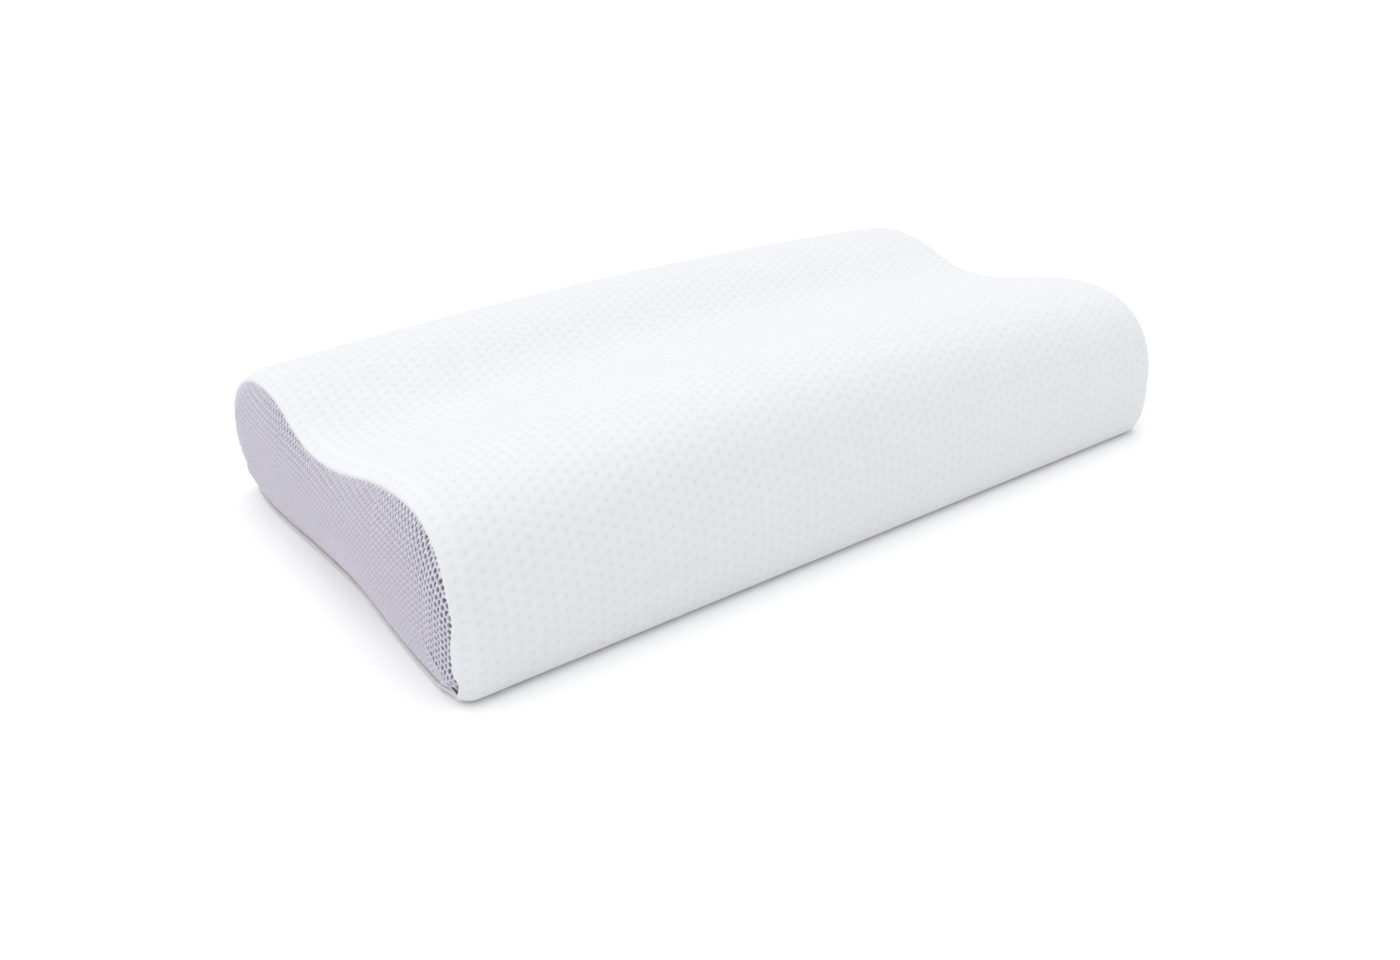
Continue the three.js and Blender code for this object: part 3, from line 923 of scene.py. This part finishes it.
def bottom_panel(look):
    """The plain cloth of the underside, up the rear to the zip and round the front edge to the seam."""
    u = column_lines()[:, None]
    x = along(u)
    start = profile.rear((ZIP_Z - 0.15 * MM - zip_cut(x)) / growth(x))
    end = profile.length + profile.front((FRONT_SEAM_Z - 0.3 * MM) / growth(x))
    low_edge = np.array([0, 0.4, 0.9, 1.6, 2.4, 3.6]) * MM
    span = float(np.mean(end - start))
    rows = np.concatenate([low_edge, np.linspace(6 * MM, span - 6 * MM, 109), span - low_edge[::-1]])
    s = start + (end - start) * (rows / span)[None, :]
    from_end = SEAM_U - np.abs(u)
    depth = seam_groove(s - start, 1.0 * MM, 0.2 * MM) + seam_groove(end - s, 1.2 * MM, 0.2 * MM)
    depth = depth + seam_groove(from_end) + puckers(u, end - s, 6 * MM, 0.12 * MM, 8)
    depth = depth + puckers(s, from_end, 7 * MM, 0.18 * MM, 9)
    based = surface(to_seam(u, s), s)[..., 2] < 1 * MM
    depth = np.where(based, np.maximum(depth, 0), depth)
    # Painted shadow line along the front seam, kept in the point value named edge.
    seam_shade = 0.5 * np.exp(-(end - s) / (0.8 * MM))
    made = sewn_cloth("cover_bottom_panel_knit", u, s, depth, s, {"edge": seam_shade})
    finish_piece(made, look, "underside", "pillow", "cover_bottom_panel")
    return made


# ---------------- the spacer-mesh ends

def end_insets(y, z):
    """For points in the end's plane: how far inside the side profile they lie, and their nearest s."""
    tree = KDTree(len(profile.points))
    for number, (py, pz) in enumerate(profile.points):
        tree.insert((py, pz, 0), number)
    tree.balance()
    found = np.array([tree.find((a, b, 0))[1] for a, b in zip(y.ravel(), z.ravel())])
    away = np.stack([y.ravel(), z.ravel()], 1) - profile.points[found]
    inset = (away * profile.inward[found]).sum(1)
    return inset.reshape(y.shape), profile.s[found].reshape(y.shape)


def hole_shape(along_rows, up_columns):
    """1 in the holes of the spacer mesh and 0 on its yarns."""
    column = np.round(along_rows / HOLE_COLUMN_PITCH)
    shift = np.where(column % 2 == 0, 0, HOLE_ROW_PITCH / 2)
    row = np.round((up_columns - shift) / HOLE_ROW_PITCH)
    across = np.abs(along_rows - column * HOLE_COLUMN_PITCH) / HOLE_HALF_WIDTH
    up = np.abs(up_columns - shift - row * HOLE_ROW_PITCH) / HOLE_HALF_HEIGHT
    reach = (across ** 1.8 + up ** 1.8) ** (1 / 1.8)
    return 1 - smooth((reach - 0.72) / 0.4)


def drawn(y):
    """Where the mesh's threads come to lie once its front is drawn over the corner."""
    places = np.linspace(FRONT_Y - 5 * MM, REAR_Y + 5 * MM, 2000)
    unstretched = places + DRAWN_SHIFT * np.exp((FRONT_Y - places) / DRAWN_REACH)
    return np.interp(y, unstretched, places)


TUCK_DEPTH = 2.6 * MM
TUCK_ROLL = 0.7 * MM


def corner_tuck(y, z):
    """How deep the bottom front corner is tucked in, below a fold that falls from the front edge."""
    line = 15 * MM - 0.8 * (y - FRONT_Y - 13 * MM)
    reached = smooth((line + 4 * MM) / (6 * MM))
    step = TUCK_DEPTH * smooth((line - z) / (2.4 * MM)) * reached
    return step - TUCK_ROLL * np.exp(-((z - line - 2.5 * MM) / (2 * MM)) ** 2) * reached


END_SEAM_SINK = 2.8 * MM
END_BULGE = 7.0 * MM
END_BULGE_REACH = 11 * MM


def end_face_x(inside, y, z):
    """X of the end panel's face for the distance inside its seam."""
    rolled = END_BULGE * (1 - np.exp(-inside / END_BULGE_REACH))
    return END_X - END_SEAM_SINK + rolled - corner_tuck(y, z)


def panel_cells():
    """Grid points of the end panel in Y and Z, the quads that lie inside its seam, and the holes."""
    step_y, step_z = HOLE_COLUMN_PITCH / HOLE_COLUMN_STEPS, HOLE_ROW_PITCH / HOLE_ROW_STEPS
    reach = REAR_Y * math.sin(HOLE_LEAN)
    along_rows = np.arange(math.floor(FRONT_Y / step_y), math.ceil((REAR_Y + reach) / step_y) + 1) * step_y
    highest = FRONT_LOBE_HEIGHT + reach
    up_columns = np.arange(math.floor(-reach / step_z), math.ceil(highest / step_z) + 1) * step_z
    along_rows, up_columns = np.meshgrid(along_rows, up_columns, indexing="ij")
    cos, sin = math.cos(HOLE_LEAN), math.sin(HOLE_LEAN)
    y, z = drawn(along_rows * cos - up_columns * sin), up_columns * cos + along_rows * sin
    inset, s = end_insets(y, z)
    inside = inset - seam_inset(s)
    keep = inside > 0.12 * MM
    full = whole_blocks(keep[:-1, :-1] & keep[1:, :-1] & keep[1:, 1:] & keep[:-1, 1:])
    at = np.arange(y.size).reshape(y.shape)
    quads = np.stack([at[:-1, :-1], at[:-1, 1:], at[1:, 1:], at[1:, :-1]], -1)[full]
    hole = hole_shape(along_rows, up_columns).ravel()
    return y.ravel(), z.ravel(), s.ravel(), inside.ravel(), quads, hole


def whole_blocks(full):
    """The cells that belong to a two by two block of full ones, which leaves no thin spurs."""
    blocks = full[:-1, :-1] & full[1:, :-1] & full[:-1, 1:] & full[1:, 1:]
    kept = np.zeros_like(full)
    for rows in (slice(None, -1), slice(1, None)):
        for columns in (slice(None, -1), slice(1, None)):
            kept[rows, columns] |= blocks
    return kept


def border_of(quads):
    """The points round a set of quads, in order."""
    sides = {(int(a), int(b)) for quad in quads for a, b in zip(quad, np.roll(quad, -1))}
    ahead = {a: b for a, b in sides if (b, a) not in sides}
    first = min(ahead)
    ring, here = [first], ahead[first]
    while here != first:
        ring.append(here)
        here = ahead[here]
    return ring


def end_panel_mesh():
    """Points, faces, cloth map and hole values of the panel at the -X end, with x as a height."""
    y, z, s, inside, quads, hole = panel_cells()
    ring = border_of(quads)
    edge_s = s[ring]
    edge_points, edge_inward = profile.at(edge_s)
    edge = edge_points + edge_inward * seam_inset(edge_s)[:, None]
    y[ring], z[ring], inside[ring] = edge[:, 0], edge[:, 1], 0
    used, quads = np.unique(quads, return_inverse=True)
    renumber = {old: new for new, old in enumerate(used.tolist())}
    ring = [renumber[old] for old in ring]
    y, z, inside = y[used], z[used], inside[used]
    hole = hole[used] * smooth((inside - 0.5 * MM) / (0.8 * MM))
    ripple = puckers(y + z, inside, 6 * MM, 0.2 * MM, 11)
    height = end_face_x(inside, y, z) - HOLE_DEPTH * hole + ripple
    face = leaned(np.stack([-height, y, z], 1))
    faces = quads.reshape(-1, 4).tolist()
    points, uv, hole = [face], [np.stack([y, z], 1)], [hole]
    last, count = ring, len(y)
    for sink in (0.9 * MM, MESH_THICKNESS):
        lower = face[ring] + np.array([sink, 0, 0])
        new = list(range(count, count + len(ring)))
        for k in range(len(ring)):
            ahead = (k + 1) % len(ring)
            faces.append((last[ahead], last[k], new[k], new[ahead]))
        points.append(lower)
        uv.append(face[ring][:, 1:])
        hole.append(np.zeros(len(ring)))
        last, count = new, count + len(ring)
    faces.append(last)
    return np.vstack(points), faces, np.vstack(uv), np.concatenate(hole)


def end_panels(look):
    """Both spacer-mesh ends: the second is the first one mirrored."""
    points, faces, uv, hole = end_panel_mesh()
    for name, side in (("left", 1), ("right", -1)):
        placed = points * np.array([side, 1, 1])
        turned = faces if side == 1 else [face[::-1] for face in faces]
        made = add_object("end_panel_%s_mesh" % name, placed, turned, uv, {"hole": hole})
        outward(made)
        finish_piece(made, look, "spacer_mesh", "pillow", "end_panel_" + name)


# ---------------- bindings, seams and stitches

def capsule_run(name, starts, ends, radius, look, slot, body):
    """Short round stitches between pairs of points, as one object."""
    starts, ends = np.asarray(starts, float), np.asarray(ends, float)
    points, faces = [], []
    around = 6
    angles = np.arange(around) * math.tau / around
    for start, end in zip(starts, ends):
        way = (end - start) / np.linalg.norm(end - start)
        side = np.cross(way, [0.31, 0.87, 0.38])
        side /= np.linalg.norm(side)
        up = np.cross(way, side)
        for share, size in ((0, 0.35), (0.1, 0.85), (0.5, 1.0), (0.9, 0.85), (1, 0.35)):
            ring = start + (end - start) * share
            first = len(points)
            for angle in angles:
                points.append(ring + radius * size * (math.cos(angle) * side + math.sin(angle) * up))
            if share:
                for k in range(around):
                    ahead = (k + 1) % around
                    faces.append((first - around + k, first - around + ahead, first + ahead, first + k))
            else:
                faces.append(tuple(range(first + around - 1, first - 1, -1)))
        faces.append(tuple(range(first, first + around)))
    made = outward(add_object(name, points, faces))
    return finish_piece(made, look, slot, body)


BINDING_STITCH = 3.4 * MM
ZIP_STITCH = 3.2 * MM
THREAD_RADIUS = 0.2 * MM


def base_bindings(look, thread):
    """A folded tape along the base of each end, with its row of stitches."""
    for name in ("left", "right"):
        node = "base_binding_" + name
        low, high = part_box(node)
        middle, half = (low + high) / 2, (high - low) / 2
        side = -1 if middle.x < 0 else 1
        angles = np.linspace(0, math.tau, 20, endpoint=False)
        runs = np.linspace(-1, 1, 160)
        rings = []
        for run in runs:
            y = run * half.y
            taper = 1 - 0.25 * smooth((abs(run) - 0.975) / 0.025)
            lift = 0.12 * MM * math.sin(run * 41) + 0.08 * MM * math.sin(run * 97)
            across = squarer(np.cos(angles), 0.42) * half.x * taper
            up = squarer(np.sin(angles), 0.42) * half.z * taper * 0.93
            fold = 0.22 * MM * np.exp(-(up / (0.35 * MM)) ** 2) * (across * side > 0)
            x = middle.x + across - side * (fold + CORNER_TUCK * front_end(y))
            level = middle.z + lift * 0.5 + CORNER_RISE * front_end(y)
            rings.append(leaned(np.stack([x, np.full_like(x, y), level + up], 1)))
        made = outward(loft(node + "_tape", rings, sharp_degrees=50, map_axes=[1, 2]))
        finish_piece(made, look, "binding", "pillow", node)
        pitch = BINDING_STITCH
        places = np.arange(-half.y + 4 * MM, half.y - 4 * MM, pitch)
        face = middle.x + side * (half.x - 0.02 * MM)
        starts = leaned(stitch_ends(places, face, side, middle.z + 0.62 * MM))
        ends = leaned(stitch_ends(places + 0.68 * pitch, face, side, middle.z + 0.62 * MM))
        capsule_run(node + "_stitches", starts, ends, THREAD_RADIUS, thread, "binding", "pillow")


def stitch_ends(y, face, side, z):
    tucked = front_end(y)
    return np.stack([face - side * CORNER_TUCK * tucked, y, z + CORNER_RISE * tucked], 1)


def zip_topstitch(thread):
    """Two rows of stitches that hold the zip tapes to the cover."""
    pitch = ZIP_STITCH
    places = np.arange(-SLOT_END_X - 3 * MM, SLOT_END_X + 3 * MM, pitch)
    for name, side in ZIP_ROWS:
        z = ZIP_Z + side * (SLOT_HALF_HEIGHT + 2.4 * MM)
        face = REAR_Y + 0.05 * MM
        starts = [(x, face, z) for x in places]
        ends = [(x + 0.7 * pitch, face, z) for x in places]
        capsule_run("zip_topstitch_" + name, starts, ends, THREAD_RADIUS, thread, "cover_knit", "pillow")


# ---------------- what is inside

def ring_rows(u_values, depth):
    """Rings round the side profile at a depth, one for each u."""
    s = np.linspace(0, profile.length, 150, endpoint=False)
    return list(surface(np.asarray(u_values)[:, None], s[None, :], depth))


def foam_core(look):
    """The moulded foam."""
    middle = np.linspace(-STRAIGHT_X, STRAIGHT_X, 62)[1:-1]
    end = np.linspace(STRAIGHT_X, FAR_U, 9)
    u = np.concatenate([-end[::-1], middle, end])
    made = outward(loft("memory_foam_core", ring_rows(u, FOAM_DEPTH), sharp_degrees=60))
    finish_piece(made, look, "foam", "pillow", "foam_core")


def liner_rows(u):
    """The liner's outer and inner rings."""
    return ring_rows(u, LINER_DEPTH), ring_rows(u, LINER_DEPTH + LINER_THICKNESS)


def liner(look):
    """The thin sleeve round the foam, and its two ends."""
    sleeve_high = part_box("liner_sleeve")[1].x
    turn = math.asin(min(1, (sleeve_high - STRAIGHT_X) / (END_ROUND_LENGTH - LINER_DEPTH)))
    rim_u = STRAIGHT_X + END_ROUND_MEAN * turn
    u = np.concatenate([[-rim_u], np.linspace(-STRAIGHT_X, STRAIGHT_X, 60), [rim_u]])
    outer, inner = liner_rows(u)
    sleeve = outward(loft("liner_sleeve_jersey", outer + inner[::-1], caps=False, sharp_degrees=50))
    finish_piece(sleeve, look, "liner", "pillow", "liner_sleeve")
    for name, side in (("left", -1), ("right", 1)):
        u = side * np.linspace(rim_u + 0.4 * MM, FAR_U, 7)
        outer, inner = liner_rows(u)
        end = outward(loft("liner_end_%s_jersey" % name, outer[::-1] + inner, sharp_degrees=50))
        finish_piece(end, look, "liner", "pillow", "liner_end_" + name)
        points = coordinates(end.data)


# ---------------- the zip

COIL_PITCH = 1.5 * MM
COIL_WIRE = 0.36 * MM
COIL_GAP = 0.36 * MM


def ribbon(name, outer, thickness, uv):
    """A thin flat cloth that faces the rear."""
    inner = outer[::4, ::4] - np.array([0, thickness, 0])
    return outward(shell(name, outer, inner, 4, uv, {}))


def zip_tapes(look):
    """Woven tapes, a little thicker along the corded edge that holds the coil."""
    for row, side in ZIP_ROWS:
        node = "zip_tape_" + row
        low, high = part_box(node)
        x = np.linspace(low.x, high.x, 125)
        share = np.linspace(0, 1, 13)
        z = (low.z if side == 1 else high.z) + side * share * (high.z - low.z)
        cord = 0.1 * MM * np.exp(-((share - 0.04) / 0.03) ** 2)
        front = high.y - 0.1 * MM + cord
        order = slice(None) if side == 1 else slice(None, None, -1)
        grid_x, grid_z = np.meshgrid(x, z[order], indexing="ij")
        grid_y = np.broadcast_to(front[order], grid_x.shape)
        outer = np.stack([grid_x, grid_y, grid_z], -1)[:, ::-1]
        made = ribbon(node + "_weave", outer, 0.45 * MM, outer[..., [0, 2]])
        finish_piece(made, look, "zip_tape", "pillow", node)


def zip_coils(look):
    """Two rows of nylon spiral whose heads meet on the chain's centre line."""
    sides = 6
    per_turn = 12
    for row, side in ZIP_ROWS:
        node = "zip_coil_" + row
        low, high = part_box(node)
        near = COIL_GAP + COIL_WIRE
        far = max(abs(high.z - ZIP_Z), abs(low.z - ZIP_Z)) - COIL_WIRE
        centre, half_z = (near + far) / 2, (far - near) / 2
        middle_y, half_y = (low.y + high.y) / 2, (high.y - low.y) / 2 - COIL_WIRE
        turns = int((high.x - low.x - 2 * COIL_WIRE) / COIL_PITCH)
        angle = np.arange(turns * per_turn + 1) * math.tau / per_turn
        x = low.x + COIL_WIRE + (angle / math.tau + (0.25 if side > 0 else 0)) * COIL_PITCH
        z = ZIP_Z + side * (centre + half_z * squarer(np.cos(angle), 0.8))
        y = middle_y + half_y * np.sin(angle)
        path = np.stack([x, y, z], 1)
        path = path[path[:, 0] < high.x - COIL_WIRE]
        way = unit(np.gradient(path, axis=0))
        across = unit(np.cross(way, [1.0, 0, 0]))
        over = np.cross(way, across)
        ring = np.arange(sides)[None, :, None] * math.tau / sides
        wire = COIL_WIRE * (np.cos(ring) * across[:, None] + np.sin(ring) * over[:, None])
        made = outward(loft(node + "_spiral", path[:, None] + wire))
        finish_piece(made, look, "zip_coil", "pillow", node)


def zip_stops(look):
    """Clamped metal stops at both ends of the chain."""
    for node in ("zip_bottom_stop", "zip_top_stop_upper", "zip_top_stop_lower"):
        low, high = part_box(node)
        outline = box_outline((low.x, low.z), (high.x, high.z))
        made = solids(node + "_clamp", [(outline, "y", low.y, high.y)], 0.45 * MM)
        finish_piece(made, look, "zip_metal", "pillow", node)


def zip_slider(look):
    """The slider: two plates with side flanges, a thin post between the coils, and the bail."""
    low, high = slider_low, slider_high
    plate = 1 * MM
    top_back = REAR_Y - 0.2 * MM
    top_face = top_back + plate
    bottom_face = low.y + plate
    middle = (low.x + high.x) / 2
    half, wide = (high.x - low.x) / 2, (high.z - low.z) / 2
    outline = []
    for x_share, z_share in ((-1, 0.62), (-0.86, 0.78), (0.15, 0.8), (0.55, 1.0), (0.86, 1.0), (1, 0.8)):
        outline.append((middle + x_share * half, ZIP_Z + z_share * wide))
    outline += [(x, 2 * ZIP_Z - z) for x, z in outline[::-1]]
    post = box_outline((high.x - 2.6 * MM, ZIP_Z - 0.25 * MM), (high.x - 0.3 * MM, ZIP_Z + 0.25 * MM))
    builds = [(outline, "y", top_back, top_face), (outline, "y", low.y, bottom_face),
              (post, "y", bottom_face - 0.4 * MM, top_back + 0.4 * MM)]
    for side in (-1, 1):
        rail_low, rail_high = sorted((ZIP_Z + side * 0.8 * wide, ZIP_Z + side * 0.72 * wide))
        rail = box_outline((middle - 0.8 * half, rail_low), (middle + 0.1 * half, rail_high))
        builds.append((rail, "y", top_back - 0.3 * MM, top_face - 0.3 * MM))
    made = solids("zip_slider_body", builds, 0.28 * MM)
    bail = bail_mesh(middle, top_face, high.y)
    join(made, bail)
    finish_piece(made, look, "zip_metal", "zip_slider", "zip_slider")


def bail_mesh(middle, foot, top):
    """The bail: a rounded arch from front to back over the top plate."""
    half_length, half_width = 2.9 * MM, 1.25 * MM
    half_bar = 0.5 * MM
    rise = top - half_bar - foot
    angles = np.linspace(0, math.pi, 25)
    x = middle + half_length * squarer(np.cos(angles), 0.55)
    y = foot - 0.2 * MM + (rise + 0.2 * MM) * np.abs(np.sin(angles)) ** 0.55
    path = np.stack([x, y], 1)
    way = unit(np.gradient(path, axis=0))
    normal = np.stack([way[:, 1], -way[:, 0]], 1)
    rings = []
    section = np.linspace(0, math.tau, 16, endpoint=False)
    flat, wide = squarer(np.cos(section), 0.5), squarer(np.sin(section), 0.5)
    for point, out in zip(path, normal):
        place_2d = point + flat[:, None] * half_bar * out
        rings.append(np.stack([place_2d[:, 0], place_2d[:, 1], ZIP_Z + wide * half_width], 1))
    return outward(loft("bail", rings, sharp_degrees=50))


def join(keep, other):
    """Adds one object's mesh to another's."""
    work = bmesh.new()
    work.from_mesh(keep.data)
    work.from_mesh(other.data)
    work.to_mesh(keep.data)
    work.free()
    bpy.data.objects.remove(other)


def zip_pull(look):
    """The pull tab: a tapering plate with an eye and a rounded grip with a round hole."""
    low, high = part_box("zip_pull_tab")
    half = (high.z - low.z) / 2
    eye_x = high.x - 1.2 * MM
    eye_far, eye_half = eye_x - 4.6 * MM, 1.8 * MM
    outer = [(high.x, ZIP_Z + 0.82 * half), (high.x, ZIP_Z - 0.82 * half)]
    outer += [(eye_far - 1.5 * MM, ZIP_Z - 0.8 * half), (low.x + half, ZIP_Z - half)]
    outer += [(low.x + half - half * math.sin(t), ZIP_Z - half * math.cos(t))
              for t in np.linspace(0.2, math.pi - 0.2, 11)]
    outer += [(low.x + half, ZIP_Z + half), (eye_far - 1.5 * MM, ZIP_Z + 0.8 * half)]
    eye = box_outline((eye_far, ZIP_Z - eye_half), (eye_x, ZIP_Z + eye_half))
    hole = [(low.x + 3.2 * MM + 1.1 * MM * math.cos(t), ZIP_Z + 1.1 * MM * math.sin(t))
            for t in np.linspace(0, math.tau, 16, endpoint=False)]
    made = plate_with_holes("zip_pull_tab_plate", outer, [eye, hole], low.y, high.y, 0.25 * MM)
    finish_piece(made, look, "zip_metal", "zip_pull", "zip_pull_tab")


def plate_with_holes(name, outer, holes, back, front, bevel):
    """A flat plate in X and Z with holes through it, filled as one curve and turned into a mesh."""
    curve = bpy.data.curves.new(name, "CURVE")
    curve.dimensions = "2D"
    curve.fill_mode = "BOTH"
    curve.extrude = (front - back) / 2 - bevel
    curve.bevel_depth = bevel
    curve.bevel_resolution = 2
    curve.offset = -bevel
    for loop in [outer] + holes:
        spline = curve.splines.new("POLY")
        spline.points.add(len(loop) - 1)
        for point, (x, z) in zip(spline.points, loop):
            point.co = (x, z, 0, 1)
        spline.use_cyclic_u = True
    source = link(name + "_outline", curve)
    mesh = evaluated(source)
    bpy.data.objects.remove(source)
    flat = coordinates(mesh)
    turned = np.stack([flat[:, 0], (front + back) / 2 + flat[:, 2], flat[:, 1]], 1)
    mesh.vertices.foreach_set("co", turned.ravel())
    mesh.name = name
    shade_smooth(mesh)
    made = link(name, mesh)
    work = bmesh.new()
    work.from_mesh(mesh)
    bmesh.ops.remove_doubles(work, verts=work.verts, dist=0.005 * MM)
    work.to_mesh(mesh)
    work.free()
    outward(made)
    mesh.set_sharp_from_angle(angle=math.radians(40))
    return made


# ---------------- the label


def care_label(look):
    """A blank satin ribbon sewn in at its upper edge."""
    low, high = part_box("care_label")
    x = np.linspace(low.x, high.x, 41)
    share = np.linspace(0, 1, 45)
    grid_x, grid_share = np.meshgrid(x, share, indexing="ij")
    z = high.z - grid_share * (high.z - low.z)
    middle = (low.y + high.y) / 2
    curl = 0.35 * MM * smooth((grid_share - 0.55) / 0.45) * np.cos(6 * (grid_x - low.x) / (high.x - low.x))
    hem = 0.12 * MM * np.exp(-((grid_share - 0.93) / 0.012) ** 2)
    y = middle + 0.1 * MM + np.abs(curl) + hem
    outer = np.stack([grid_x, y, z], -1)
    made = ribbon("care_label_ribbon", outer, 0.35 * MM, np.stack([grid_x, z], -1))
    finish_piece(made, look, "label", None, "care_label")
    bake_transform(made)


# ---------------- stage, light and camera

FLOOR_HALF = 12.0
SKY_STRENGTH = 0.805
LAMP_ENERGY = 1.53
LAMP_ANGLE = math.radians(85)
LAMP_TILT = (math.radians(-12), math.radians(-7), 0)
CAMERA_PLACE = (-0.5317, -0.6844, 0.4233)
CAMERA_LENS = 32.36
CAMERA_DOWN = math.radians(27.0565)
CAMERA_TURN = math.radians(-37.158)


def studio():
    """A white floor under an even white sky and a large soft light from above."""
    corners = [(x * FLOOR_HALF, y * FLOOR_HALF, 0) for x, y in ((-1, -1), (1, -1), (1, 1), (-1, 1))]
    floor = add_object("studio_floor", corners, [(0, 1, 2, 3)])
    floor.data.materials.append(floor_look())
    world = bpy.data.worlds.new("studio_sky")
    world.use_nodes = True
    sky = world.node_tree.nodes["Background"]
    sky.inputs["Color"].default_value = (0.985, 0.99, 1.0, 1)
    sky.inputs["Strength"].default_value = SKY_STRENGTH
    scene.world = world
    lamp = bpy.data.lights.new("overhead_softbox", "SUN")
    lamp.energy = LAMP_ENERGY
    lamp.angle = LAMP_ANGLE
    link("overhead_softbox", lamp).rotation_euler = LAMP_TILT
    scene.view_settings.view_transform = "Standard"
    scene.view_settings.look = "None"


def camera():
    """The photograph's own view: from the left front, a little above."""
    eye = bpy.data.cameras.new("camera")
    eye.lens = CAMERA_LENS
    eye.sensor_width = 36
    eye.clip_start = 0.01
    made = link("camera", eye)
    made.location = CAMERA_PLACE
    made.rotation_euler = (math.pi / 2 - CAMERA_DOWN, 0, CAMERA_TURN)
    scene.camera = made


camera()
studio()
knit = knit_look()
spacer = spacer_look()
thread = thread_look()
metal = metal_look()
liner_cloth = liner_look()
binding_tape = ribbed_look("binding_tape", (0.744, 0.726, 0.732), (0.54, 0.528, 0.54), 0.7 * MM, 0.12 * MM)
zip_tape = ribbed_look("zip_tape_twill", (0.744, 0.744, 0.768), (0.552, 0.552, 0.588), 0.8 * MM, 0.1 * MM)
swelling = Swelling()
foam_core(foam_look())
liner(liner_cloth)
main_panel(swelling, knit)
bottom_panel(underside_look())
end_panels(spacer)
base_bindings(binding_tape, thread)
zip_tapes(zip_tape)
zip_coils(coil_look())
zip_stops(metal)
zip_slider(metal)
zip_pull(metal)
zip_topstitch(thread)
care_label(label_look())
